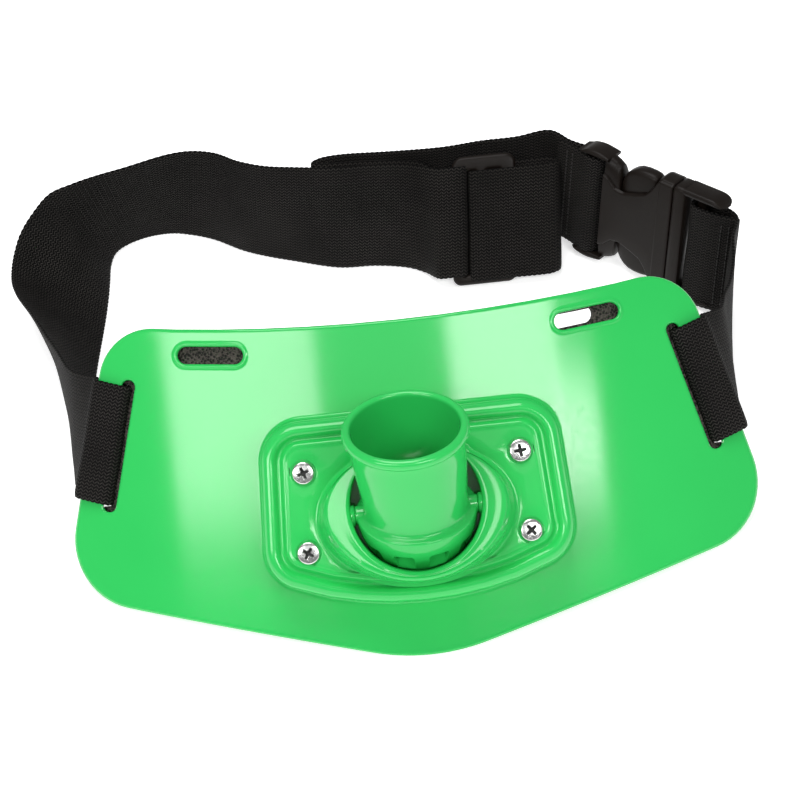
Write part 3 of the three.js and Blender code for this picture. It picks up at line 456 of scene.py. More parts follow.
def rounding(radius, steps):
    """Steps round an edge, from its side to its face: (inset, distance from the face)."""
    turns = np.radians(np.linspace(0, 90, steps))
    return [(radius * (1 - math.cos(t)), radius * (1 - math.sin(t))) for t in turns]


def slab(loops, low, high, radius, spacing=None, bend=None, steps=4):
    """A flat piece with rounded edges. loops: outer anticlockwise, holes clockwise."""
    bend = bend or (lambda x, y: np.zeros_like(x))
    skin = Skin()

    def solid(flat, z):
        return np.column_stack([flat, bend(flat[:, 0], flat[:, 1]) + z])

    edge = rounding(radius, steps)
    for loop in loops:
        rings = [solid(offset(loop, inset), low + rise) for inset, rise in edge[::-1]]
        rings += [solid(offset(loop, inset), high - rise) for inset, rise in edge]
        skin.rings(rings)
    inner = [offset(loop, radius) for loop in loops]
    skin.cap(inner, lambda f: solid(f, high), spacing)
    skin.cap(inner, lambda f: solid(f, low), spacing, flip=True)
    return skin


# ---- Belly plate ----
def bend_of(x, y=None):
    return np.sqrt(BEND_RADIUS ** 2 - np.asarray(x) ** 2) - BEND_RADIUS


PLATE_HEIGHT, TOP_DIP, POINT_RADIUS = 135.0, 10.1, 90.0
LOWER_HALF, LOWER_RISE, UPPER_HALF = 149.1, 39.6, 118.6
POINT_V = -POINT_RADIUS * (math.hypot(1, LOWER_RISE / LOWER_HALF) - 1)
LOWER_CORNER = np.array([LOWER_HALF, POINT_V + LOWER_RISE])
UPPER_CORNER = np.array([UPPER_HALF, PLATE_HEIGHT + TOP_DIP])
PLATE_HALF = [(0, POINT_V, POINT_RADIUS), (*LOWER_CORNER, 28), (*UPPER_CORNER, 22.5)]
TOP_SHARES = [0.8 * k / 5.3 for k in range(5, -1, -1)]
PLATE_HALF += [(UPPER_HALF * s, PLATE_HEIGHT + TOP_DIP * s * s, 0) for s in TOP_SHARES]
PLATE_CORNERS = mirrored(PLATE_HALF)
BASE_HALF = [(62.2 * s, 22.8 + 14 * s * s, 0) for s in (0, 0.2, 0.4, 0.6)]
BASE_HALF += [(62.2, 36.8, 16), (58.6, 98.4, 16)]
BASE_CORNERS = mirrored(BASE_HALF)

EDGE_WAY = unit(UPPER_CORNER - LOWER_CORNER)
EDGE_U = LOWER_HALF + (SIDE_SLOT_V - LOWER_CORNER[1]) * EDGE_WAY[0] / EDGE_WAY[1]
SIDE_SLOT_U = EDGE_U - SIDE_SLOT_INSET / EDGE_WAY[1]
SIDE_SLOT_TURN = math.atan2(-EDGE_WAY[0], EDGE_WAY[1])


PLATE_EDGE = 1.3  # radius of the plate's rounded edges
GUARD = 0.7  # flat strip that keeps the shading of rounded edges from running into the faces


def plate_loop(corners, inset, cuts):
    return rounded(inset_corners(corners, inset), 14, 4.0, cuts)[0]


# Foot of the raised platform: (distance outside the base, height above the plate)
FOOT = [(2.0 + GUARD, 0.0), (2.0, 0.0), (1.5, 0.1), (1.1, 0.4), (0.8, 0.9), (0.6, 1.7), (0.5, 3.0)]


def belly_plate():
    cuts = rounded(PLATE_CORNERS, 14, 4.0)[1]
    base_cuts = rounded(BASE_CORNERS, 14, 4.0)[1]
    skin = Skin()

    def solid(flat, depth):
        return np.column_stack([flat, bend_of(flat[:, 0]) - depth])

    edge = rounding(PLATE_EDGE, 6)
    outline = lambda inset: plate_loop(PLATE_CORNERS, inset, cuts)
    rings = [solid(outline(inset), depth) for inset, depth in edge[::-1]]
    rings += [solid(outline(inset), THICK - depth) for inset, depth in edge]
    guard = outline(PLATE_EDGE + GUARD)
    skin.rings([solid(guard, 0), *rings, solid(guard, THICK)])
    tops, bottoms = [guard], [guard]

    def hole(make, steps):
        """Rings of a slot: (growth, depth) from the front face to the back face."""
        steps = [(steps[0][0] + GUARD, 0), *steps]
        skin.rings([solid(make(g), d) for g, d in steps])
        tops.append(make(steps[0][0]))
        bottoms.append(make(steps[-1][0]))

    for side in (1, -1):
        turn = side * SIDE_SLOT_TURN
        slot = lambda g: capsule(5.5, 55, (side * SIDE_SLOT_U, SIDE_SLOT_V), turn, g)
        hole(slot, [(0.9, 0), (0.6, 0.08), (0.25, 0.3), (0.05, 0.7), (0, 1.1), (0, 2.6), (0.3, THICK)])
        top = math.pi / 2 + side * math.radians(6.5)
        slot = lambda g: capsule(7, 27, (side * 76.5, 128.6), top, g, 14)
        rim = [(2.0, 0), (1.75, -0.12), (1.45, -0.3), (1.1, -0.38), (0.75, -0.3), (0.4, 0), (0.12, 0.5)]
        rim += [(0, 1.0), (0, 2.7), (0.3, THICK)]
        hole(slot, rim)

    base = lambda o: plate_loop(BASE_CORNERS, -o, base_cuts)
    foot = [np.column_stack([base(o), bend_of(base(o)[:, 0]) + up]) for o, up in FOOT]
    steps = [(0.4, 6.6), (0.3, 7.3), (0.1, 7.8), (-0.4, PLATFORM_TOP), (-2, PLATFORM_TOP)]
    wall = [level(base(o), n) for o, n in steps]
    skin.rings((foot + wall)[::-1])
    tops.append(base(FOOT[0][0])[::-1])
    hub = circle(27.3, (0, PIVOT_V), 72)
    skin.cap([base(-2), hub], lambda f: level(f, PLATFORM_TOP), 6)
    skin.rings([level(hub, PLATFORM_TOP), solid(hub, THICK)])
    bottoms.append(hub)
    skin.cap(tops, lambda f: solid(f, 0), 3.5)
    skin.cap(bottoms, lambda f: solid(f, THICK), 5, flip=True)
    return skin.build("plate_skin", PLATE, GREEN, "belt", ["belly_plate"], "green_plastic")


PAD_MARGIN, PAD_THICK = 7.0, 8.0


def back_pad():
    edge = lambda y: SIDE_SLOT_U + math.tan(SIDE_SLOT_TURN) * (SIDE_SLOT_V - y)
    wide = lambda x, y: min(x, edge(y) + 4.6)
    half = [corner for corner in inset_corners(PLATE_CORNERS, PAD_MARGIN) if corner[0] >= -1e-6]
    half = [(wide(x, y), y, r) if x > 0 else (x, y, r) for x, y, r in half]
    side = [i for i, (x, y, r) in enumerate(half) if r and x > 0]
    first, last = side[0], side[1]
    low, high, far = SIDE_SLOT_V - 24.3, SIDE_SLOT_V + 24.4, SIDE_SLOT_V + 25.8
    notch = [(edge(low) + 4.6, low, 1), (edge(low) - 0.5, low, 1.2)]
    notch += [(edge(high) - 0.5, high, 1.2), (edge(far) + 4.6, far, 1)]
    corners = mirrored(half[:first + 1] + notch + half[last:])
    outer = rounded(corners, 12, 4.0)[0]
    hole = capsule(7, 27, (65.5, 128.6), math.pi / 2 + math.radians(6.5), 0.2, 14)
    skin = slab([outer, hole], -THICK - GAP - PAD_THICK, -THICK - GAP, 0.5, 5, lambda x, y: bend_of(x))
    pad = skin.build("pad_foam", PLATE, FOAM, "belt", ["back_pad"], "foam")
    return pad


# ---- Gimbal base ----
RIM = [
    (0.0, 8.3), (0.0, 10.8), (0.15, 11.9), (0.5, 12.9), (1.1, 13.8), (2.0, 14.6), (3.0, 15.05), (3.9, 15.15),
    (4.7, 14.9), (5.4, 14.3), (5.9, 13.5), (6.25, 12.9), (6.7, 12.6), (7.3, 12.65), (7.9, 13.1), (8.4, 13.8),
    (8.9, 14.35), (9.4, 14.55), (9.9, 14.5), (10.3, 14.35), (10.8, 14.3), (11.4, 14.3),
]


def polar_radius(loop, centre, angles):
    """How far a star-shaped loop lies from a centre, at each angle."""
    seen = loop - centre
    angle = np.arctan2(seen[:, 1], seen[:, 0])
    order = np.argsort(angle)
    angle, reach = angle[order], np.linalg.norm(seen, axis=1)[order]
    wrapped = np.concatenate([angle - 2 * math.pi, angle, angle + 2 * math.pi])
    return np.interp((angles + math.pi) % (2 * math.pi) - math.pi, wrapped, np.tile(reach, 3))


COLLAR = {"centre": np.array([0, 63.0]), "mid": 57.8, "rise": 23.4}
COLLAR_WIDE = ([0, 0.12, 0.4, 0.7, 1.0], [38.6, 38.0, 36.4, 34.0, 31.2])
COLLAR_HIGH = ([0, 0.12, 0.4, 0.7, 1.0], [26.8, 26.7, 26.3, 25.8, 25.4])


def collar_plane(v):
    low_v, low_n = 57.8 - 25.4, BASE_FACE + COLLAR["rise"]
    return low_n - (v - low_v) * (low_n - BASE_FACE) / (57.8 + 26.8 - low_v)


def gimbal_base():
    cuts = rounded(BASE_CORNERS, 14, 4.0)[1]
    skin = Skin()
    skin.rings([level(plate_loop(BASE_CORNERS, inset, cuts), n) for inset, n in RIM])

    count = 160
    angles = np.linspace(-math.pi, math.pi, count, endpoint=False)
    way = np.stack([np.cos(angles), np.sin(angles)], 1)
    t = around(1440)
    opening = np.stack([OPENING_HALF * np.cos(t), 35.8 + OPENING_HALF + OPENING_HALF * np.sin(t)], 1)
    inner = polar_radius(opening, COLLAR["centre"], angles)

    def outer(share):
        a, b = np.interp(share, *COLLAR_WIDE), np.interp(share, *COLLAR_HIGH)
        ellipse = np.stack([a * np.cos(t), COLLAR["mid"] + b * np.sin(t)], 1)
        return polar_radius(ellipse, COLLAR["centre"], angles)

    levels = np.linspace(0, 1, 41)
    table = np.array([outer(s) for s in levels])
    wall_at = lambda share: np.array([np.interp(share[k], levels, table[:, k]) for k in range(count)])
    plane_at = lambda reach: collar_plane(COLLAR["centre"][1] + reach * way[:, 1])
    top = np.zeros(count)
    for _ in range(6):
        top = np.clip((plane_at(wall_at(top)) - BASE_FACE) / COLLAR["rise"], 0, 1)
    wall = np.minimum(top * COLLAR["rise"], 60)

    def ring(reach, height):
        return np.column_stack([COLLAR["centre"] + way * reach[:, None], height])

    def side(share):
        """Where the outer wall is, at a share of its height at each angle."""
        return np.maximum(wall_at(top * share), inner + 1.6)

    face = np.full(count, BASE_FACE)
    foot = np.minimum(1.4, wall)
    base_reach = np.maximum(outer(0), inner + 3.2)
    groove = [(2.4, 0), (1.9, 0.25), (1.3, 0.3)]
    rings = [ring(base_reach + past, face - deep) for past, deep in groove]
    rings += [ring(base_reach + 0.7, face - 0.05 + 0.1 * foot), ring(base_reach + 0.25, face + 0.55 * foot)]
    for share in (0.3, 0.5, 0.7, 0.85):
        rings.append(ring(side(share), face + np.maximum(wall * share, 0.6 * foot)))
    edge = np.minimum(1.1, 0.3 + wall * 0.3)
    crest_out = side(1.0)
    plane = np.maximum(plane_at(crest_out), BASE_FACE)
    for turn in np.radians([0, 30, 60, 90]):
        rings.append(ring(crest_out - edge * (1 - math.cos(turn)), plane - edge * (1 - math.sin(turn))))
    lip = np.minimum(1.3, 0.4 + wall * 0.2)
    span = np.maximum(crest_out - edge - inner - lip, 0.05)
    for share in (0.3, 0.6, 0.85, 1.0):
        reach = crest_out - edge - span * share
        high = np.maximum(plane_at(reach), BASE_FACE)
        rings.append(ring(reach, high + (0.3 * lip if share > 0.8 else 0)))
    mouth = np.maximum(plane_at(inner), BASE_FACE)
    for turn in np.radians([60, 30, 0]):
        rings.append(ring(inner + lip * (1 - math.cos(turn)), mouth + 0.3 * lip - lip * (1 - math.sin(turn))))
    for share in (0.66, 0.33, 0.0):
        rings.append(ring(inner, 5.0 + (mouth - 1.0 - 5.0) * share))
    for low in (5.0, 3.0, 1.0, -1.0, -2.6):
        reach = math.sqrt((BALL_RADIUS + 1) ** 2 - (PIVOT_N - low) ** 2)
        rings.append(level(np.array([0, PIVOT_V]) + way * reach, low))
    skin.rings(rings[::-1])
    holes = [(COLLAR["centre"] + way * (base_reach + 2.4)[:, None])[::-1]]
    for u, v, _ in SCREWS.values():
        seat = [(5.5, 14.3), (5.15, 14.22), (4.95, 14.0), (4.9, 13.75)]
        skin.rings([level(circle(r, (u, v)), n) for r, n in seat])
        skin.fan(level(circle(4.9, (u, v)), 13.75))
        holes.append(circle(5.5, (u, v)))
    panel = plate_loop(BASE_CORNERS, RIM[-1][0], cuts)
    skin.cap([panel, *holes], lambda f: level(f, BASE_FACE), 4)
    back = plate_loop(BASE_CORNERS, 0, cuts)
    bottom = (COLLAR["centre"] + way * inner[:, None])[::-1]
    skin.cap([back, bottom], lambda f: level(f, BASE_BACK), 8, flip=True)
    for side_of in (1, -1):
        ear = [(3.2, 0), (3.9, 0.2), (4.3, 0.7), (4.4, 4)]
        steps = [(side_of * (BALL_RADIUS + 0.15 + x), circle(r, (PIVOT_V, PIVOT_N), 40)) for r, x in ear]
        rings = [np.column_stack([np.full(40, x), loop]) for x, loop in steps]
        skin.rings(rings)
        skin.fan(rings[0])
    return skin.build("base_skin", PLATE, GREEN, "belt", ["gimbal_base"], "green_plastic", 42)


# ---- Rod cup ----
def rod_cup():
    skin = Skin()
    r = BALL_RADIUS
    outside = [(r, -0.1), (r, 0.5), (r - 0.12, 0.95), (r - 0.4, 1.3), (r - 0.9, 1.5)]
    outside += [(22.3, 1.75), (21.5, 2.1), (21.0, 2.8), (20.75, 3.9)]
    outside += [(20.7 + 2.3 * s, 3.9 + 31.6 * s) for s in np.linspace(0.1, 1, 8)]
    outside += [(23.15, 36.1), (23.6, 36.6), (24.3, 37.1), (24.75, 37.8)]
    outside += [(24.9, 38.6), (24.85, 39.4), (24.55, 40.1), (24.0, 40.65)]
    outside += [(23.3, 40.95), (22.7, 41.0), (22.1, 40.85), (21.65, 40.45), (21.4, 39.8), (21.3, 39.0)]
    outside += [(21.3 - 3.1 * s, 39.0 - 48.4 * s) for s in np.linspace(0.1, 1, 8)]
    outside += [(17.6, -10.0), (8, -10.0)]
    rings = spun(outside, 128)
    for ring in rings:
        ring[:, 0] -= 0.033 * np.maximum(ring[:, 2] - 3, 0)
    skin.rings(rings)
    skin.fan(rings[-1])
    for side_of in (1, -1):
        boss = [np.column_stack([np.full(32, side_of * x), c[:, 0], c[:, 1]]) for x, c in
                [(x, circle(q, (0, 0), 32)) for x, q in ((18, 3.9), (23.2, 3.9), (23.9, 3.7), (24.2, 3.1))]]
        skin.rings(boss)
        skin.fan(boss[-1])

    half, pitch = WINDOW_WIDTH / 2, 2 * math.pi / WINDOW_COUNT
    beside = [half + x for x in (1.5, 0.5, 0.1, -0.1, -0.5)] + [half / 2]
    spots = [-x for x in beside] + [0] + beside
    t = np.sort(np.array([k * pitch + x / r for k in range(WINDOW_COUNT) for x in spots]))
    local = ((t + pitch / 2) % pitch) - pitch / 2
    open_share = np.clip((half + 0.1 - np.abs(local) * r) / 0.2, 0, 1)
    across = np.abs(np.cos(np.round(t / pitch) * pitch)) <= 0.97
    arch = WINDOW_TOP + 1.3 * np.clip(np.abs(local) * r / half, 0, 1) ** 4
    levels = [-0.1, -1.2, -2.5, -4, -5.2, -5.8, -6.0, -6.2, -6.4, -6.7, -7.0, -7.4, -7.9, -9, -11, -13]
    levels += [-13.8, -14.1, -14.3, -14.6, -15.2, -15.9, -16.4, -16.85, -17.0]
    floor_reach = math.sqrt(r ** 2 - 17 ** 2)
    rings = []
    for z in levels:
        ball = math.sqrt(r ** 2 - z ** 2)
        ball = min(ball, floor_reach + (17 + z) * 0.9 + 0.001) if z < -16 else ball
        sunk = np.clip((-z - arch) / 0.35, 0, 1) * np.clip((14.35 + z) / 0.4, 0, 1)
        depth = sunk * open_share * across
        reach = ball - depth * (ball - (r - 4.5) / np.maximum(np.cos(local), 0.9))
        rings.append(np.stack([reach * np.cos(t), reach * np.sin(t), np.full(len(t), float(z))], 1))
    skin.rings(rings[::-1])
    skin.fan(rings[-1], flip=True)
    return skin.build("cup_skin", CUP, GREEN, "cup", ["rod_cup"], "green_plastic", 40, 0.004)


def pivot_pin():
    skin = Skin()
    half = float(pin_high[0] - pin_low[0]) * 500
    profile = [(0.6, -half), (2.1, -half), (2.4, -half + 0.1), (2.5, -half + 0.4), (2.5, 0.0)]
    profile += [(r, -z) for r, z in profile[-2::-1]]
    rings = spun(profile, 48)
    skin.rings(rings)
    skin.fan(rings[0], flip=True)
    skin.fan(rings[-1])
    place = Frame(PIVOT, [0, 1, 0], [0, 0, 1], [1, 0, 0])
    return skin.build("pin_skin", place, STEEL, "belt", ["pivot_pin"], "steel")


# ---- Screws ----
def screw(name, u, v, turn):
    radii = [0.08, *np.arange(0.25, 2.7, 0.15), 2.9, 3.3, 3.7, 3.95, 4.12, 4.24, 4.32, 4.35]
    t = around(144)
    rings = []
    for r in radii:
        x, y = r * np.cos(t), r * np.sin(t)
        dome = 1.3 + 0.28 * (1 - (r / 4.35) ** 2) + 0.4 * math.sqrt(max(0, 1 - (r / 4.36) ** 8))
        wide, tall = np.abs(x), np.abs(y)
        arm = np.minimum(np.maximum(wide - 2.3, tall - 0.5), np.maximum(tall - 2.3, wide - 0.5))
        arm = np.minimum(arm, np.hypot(x, y) - 0.95)
        sunk = np.clip(0.5 - arm / 0.3, 0, 1) * (1.5 - 0.35 * r)
        rings.append(np.stack([x, y, dome - np.maximum(sunk, 0)], 1))
    skin = Skin()
    rings += spun([(4.35, 0.6), (4.35, -0.2)], 144)
    skin.rings(rings)
    skin.fan(rings[0])
    skin.fan(rings[-1], flip=True)
    angle, side = math.radians(turn), math.copysign(1, u)
    out = unit(N_AXIS + (0.06 if side > 0 else -0.025) * U_AXIS + (0.035 if side > 0 else -0.02) * V_AXIS)
    arm_way = math.cos(angle) * U_AXIS + math.sin(angle) * V_AXIS
    across = unit(arm_way - out * (out @ arm_way))
    place = Frame(PLATE.at([[u, v, 14.0]])[0], across, np.cross(out, across), out)
    piece = skin.build(name + "_head", place, STEEL, "belt", [name], "steel", 50)
    piece.data.materials.append(PAINTED_RECESS_SHADE)
    centre, height = place.origin / 1000, 1.25 / 1000
    # Faces down in the cross recess take the dark steel as painted shade.
    for face in piece.data.polygons:
        seen = np.array(face.center) - centre
        if seen @ out < height and np.linalg.norm(seen - out * (seen @ out)) < 0.0027:
            face.material_index = 1
    return piece


# ---- Webbing ----
BELT_HALF, BELT_DEPTH = 140.0, 280.0
# Each row: x, y, z of the lower edge as shares, and the upper edge's direction in plan
LEFT_RUN = [
    (-1.014, 0.371, 0.3, 0.098, 0.468), (-1.021, 0.457, 0.12, -0.059, 0.47),
    (-1.007, 0.529, 0.04, -0.247, 0.474), (-0.989, 0.6, 0.008, -0.45, 0.492),
    (-0.971, 0.686, 0.008, -0.66, 0.468), (-0.954, 0.757, 0.008, -0.774, 0.442),
    (-0.943, 0.807, 0.008, -0.786, 0.378), (-0.936, 0.85, 0.008, -0.725, 0.269),
    (-0.932, 0.889, 0.008, -0.598, 0.147), (-0.929, 0.929, 0.008, -0.434, 0.041),
    (-0.911, 0.961, 0.008, -0.274, -0.102), (-0.868, 0.98, 0.008, -0.188, -0.149),
    (-0.8, 0.993, 0.008, -0.119, -0.159), (-0.721, 0.996, 0.008, 0.093, -0.06),
    (-0.661, 0.988, 0.008, 0.133, 0), (-0.581, 0.969, 0.008, 0.127, 0.044),
    (-0.481, 0.932, 0.008, 0.062, 0.093), (-0.403, 0.911, 0.008, 0.077, 0.103),
    (-0.324, 0.894, 0.008, 0.091, 0.153), (-0.166, 0.864, 0.008, 0.087, 0.286),
    (-0.047, 0.859, 0.008, 0.081, 0.309), (0.06, 0.845, 0.01, 0.07, 0.36), (0.115, 0.826, 0.02, 0.04, 0.47),
]
RETURN_RUN = [
    (0.115, 0.836, 0.02, 0.04, 0.47), (0.055, 0.855, 0.01, 0.06, 0.36), (-0.047, 0.869, 0.01, 0.08, 0.305),
    (-0.15, 0.877, 0.01, 0.085, 0.265), (-0.215, 0.888, 0.01, 0.07, 0.2), (-0.24, 0.9, 0.01, 0.06, 0.15),
    (-0.215, 0.913, 0.01, 0.06, 0.12), (-0.15, 0.917, 0.01, 0.06, 0.12), (0.02, 0.914, 0.01, 0.03, 0.105),
    (0.2, 0.908, 0.01, 0.02, 0.12), (0.33, 0.903, 0.01, 0.02, 0.2), (0.44, 0.9, 0.01, 0.03, 0.23),
]
RIGHT_RUN = [
    (1.018, 0.605, 0.07, 0.13, 0.13), (1.015, 0.545, 0.07, 0.1, 0.2), (1.01, 0.475, 0.12, 0.04, 0.3),
    (1.004, 0.41, 0.22, -0.04, 0.4), (1.0, 0.35, 0.35, -0.1, 0.5),
]


def run_stations(rows):
    out = []
    for x, y, z, tip_x, tip_y in rows:
        low = FLOOR_ORIGIN + np.array([x * BELT_HALF, y * BELT_DEPTH, z * WEBBING_WIDTH])
        tip = np.array([tip_x, tip_y, math.sqrt(1 - tip_x ** 2 - tip_y ** 2)])
        out.append((low, low + tip * WEBBING_WIDTH))
    return out


def station(place, a, q, w):
    low = place.at([[a, w, q]])[0]
    return low, low + place.axes[1] * WEBBING_WIDTH


def arc_stations(place, a, q, radius, start, end, w, steps, last_w=None):
    out = []
    for k in range(steps + 1):
        t = math.radians(start + (end - start) * k / steps)
        across = w + ((w if last_w is None else last_w) - w) * k / steps
        out.append(station(place, a + radius * math.cos(t), q + radius * math.sin(t), across))
    return out


def plate_loop_stations(side):
    slope = math.asin(SIDE_SLOT_U / BEND_RADIUS)
    s = math.sin(SIDE_SLOT_TURN)
    along = unit(np.array([-s, math.cos(SIDE_SLOT_TURN), s * math.tan(slope)]))
    out = np.array([math.sin(slope), 0, math.cos(slope)])
    across = unit(np.cross(along, out))
    middle = np.array([SIDE_SLOT_U, SIDE_SLOT_V, float(bend_of(SIDE_SLOT_U))]) - along * WEBBING_WIDTH / 2

    def place(o, m):
        low = middle + across * o + out * m
        both = np.array([low, low + along * WEBBING_WIDTH]) * np.array([side, 1, 1])
        return tuple(PLATE.at(both))

    clear = WEBBING_THICK / 2 + 0.35
    inner, outer = 2.75 / math.cos(slope), SIDE_SLOT_INSET / math.cos(slope)
    turn = THICK / 2 + clear
    fall = abs(s) * WEBBING_WIDTH / 2
    behind = lambda o: -THICK - clear - (o + fall) ** 2 / (2 * (BEND_RADIUS - THICK))
    stations = [place(o, behind(o)) for o in (outer - 0.5, (inner + outer) / 2, inner)]
    for k in range(1, 7):
        t = math.radians(270 - 30 * k)
        stations.append(place(inner + turn * math.cos(t), -THICK / 2 + turn * math.sin(t)))
    bend = math.sqrt(2) + clear
    stations.append(place((inner + outer) / 2, bend - 1))
    for k in range(4):
        t = math.radians(90 - 22 * k)
        stations.append(place(outer - 1 + bend * math.cos(t), -1 + bend * math.sin(t)))
    corner = outer + THICK * math.tan(slope)
    return stations + [place(corner + clear + 0.15, -THICK), place(corner + clear + 0.5, -THICK - 2)]


SLIDER_LENGTH, SLIDER_BAR, SLIDER_END, SLIDER_THICK = 27.0, 4.5, 3.5, 4.0
SLIDER_ROOM = WEBBING_WIDTH + 1.4
SLIDER_SLOT = (SLIDER_LENGTH - 3 * SLIDER_BAR) / 2
PANEL_LENGTH, PANEL_DROP, LAYER_GAP = 49.0, 2.6, 0.4
SLIDER = webbing_frame(28, 221.5, 0, 38)
SLIDER.axes[1] += 0.085 * SLIDER.axes[0]
SLIDER.origin[2] += SLIDER_END * math.cos(math.radians(38)) + SLIDER_THICK / 2 * math.sin(math.radians(38))


def slider_stations():
    w = (SLIDER_ROOM - WEBBING_WIDTH) / 2
    layer = SLIDER_THICK / 2 + 0.3 + WEBBING_THICK / 2 + 0.1
    rise = SLIDER_BAR + SLIDER_SLOT / 2
    back = layer + WEBBING_THICK + LAYER_GAP
    radius, mid, half = (layer + back) / 2, (layer - back) / 2, SLIDER_SLOT / 2
    # over the first bar, down into the first slot and up again over the other two
    steps = [(-6, layer * 0.35), (-2.5, layer * 0.8), (0.3, layer), (3.6, layer), (rise - 2.0, layer * 0.6)]
    steps += [(rise - 1.3, -0.6), (rise - 0.4, -1.6), (rise + 0.5, -0.6), (rise + 1.1, layer * 0.7)]
    steps += [(rise + half, layer), (SLIDER_LENGTH, layer)]
    out = [station(SLIDER, a, q, w - (PANEL_DROP if a > rise - 0.5 else 0)) for a, q in steps]
    out += arc_stations(SLIDER, PANEL_LENGTH - radius, mid, radius, 90, -90, w - PANEL_DROP, 8, w)
    return out + [station(SLIDER, a, -back, w) for a in (SLIDER_LENGTH, 0, -6)]


BUCKLE_WIDTH, BUCKLE_THICK, BUCKLE_BAR, BUCKLE_SLOT = 56.5, 11.5, 5.0, 5.5
SOCKET_LENGTH, BUCKLE_LENGTH = 50.0, 76.0
SOCKET_BAR_A, PRONG_BAR_A = BUCKLE_BAR / 2 + 3, BUCKLE_LENGTH - BUCKLE_BAR / 2 - 4
BUCKLE = webbing_frame(87.5, 238.2, -41.8, 10)
BUCKLE.origin[2] += BUCKLE_THICK / 2 * math.sin(math.radians(10))
WRAP_RADIUS = BUCKLE_BAR / 2 * math.sqrt(2) + 0.3 + WEBBING_THICK / 2
LAYER = (WEBBING_THICK + LAYER_GAP) / 2
BUCKLE_W = (BUCKLE_WIDTH - WEBBING_WIDTH) / 2 - 0.6


def socket_wrap():
    under = [(-22, -LAYER - 1.5), (-10, -LAYER - 0.5), (-3, -LAYER - 1.2)]
    out = [station(BUCKLE, a, q, BUCKLE_W) for a, q in under]
    out += arc_stations(BUCKLE, SOCKET_BAR_A, 0, WRAP_RADIUS, -90, 90, BUCKLE_W, 8)
    return out + [station(BUCKLE, a, q, BUCKLE_W) for a, q in [(-3, LAYER + 1.2), (-10, LAYER), (-14, LAYER)]]


def prong_wrap():
    a, w = PRONG_BAR_A - 6.5, BUCKLE_W - 3.0
    out = [station(BUCKLE, a + x, q, w) for x, q in [(19.5, LAYER), (13, LAYER + 2.2), (6, WRAP_RADIUS)]]
    out += arc_stations(BUCKLE, a, 0, WRAP_RADIUS, 90, 270, w, 8)
    return out + [station(BUCKLE, a + 7, -WRAP_RADIUS + 0.6, w), station(BUCKLE, a + 16.5, -LAYER, w)]


def smooth_path(points):
    """Centripetal spline through points: a function of the span and of the share along it."""
    points = np.asarray(points)
    before = np.vstack([2 * points[0] - points[1], points, 2 * points[-1] - points[-2]])

    def at(i, t):
        p0, p1, p2, p3 = before[i], before[i + 1], before[i + 2], before[i + 3]
        d0, d1, d2 = (max(np.linalg.norm(b - a) ** 0.5, 1e-4) for a, b in ((p0, p1), (p1, p2), (p2, p3)))
        t1 = ((p1 - p0) / d0 - (p2 - p0) / (d0 + d1) + (p2 - p1) / d1) * d1
        t2 = ((p2 - p1) / d1 - (p3 - p1) / (d1 + d2) + (p3 - p2) / d2) * d1
        c2, c3 = -3 * p1 + 3 * p2 - 2 * t1 - t2, 2 * p1 - 2 * p2 + t1 + t2
        return p1 + t1 * t + c2 * t * t + c3 * t ** 3

    return at


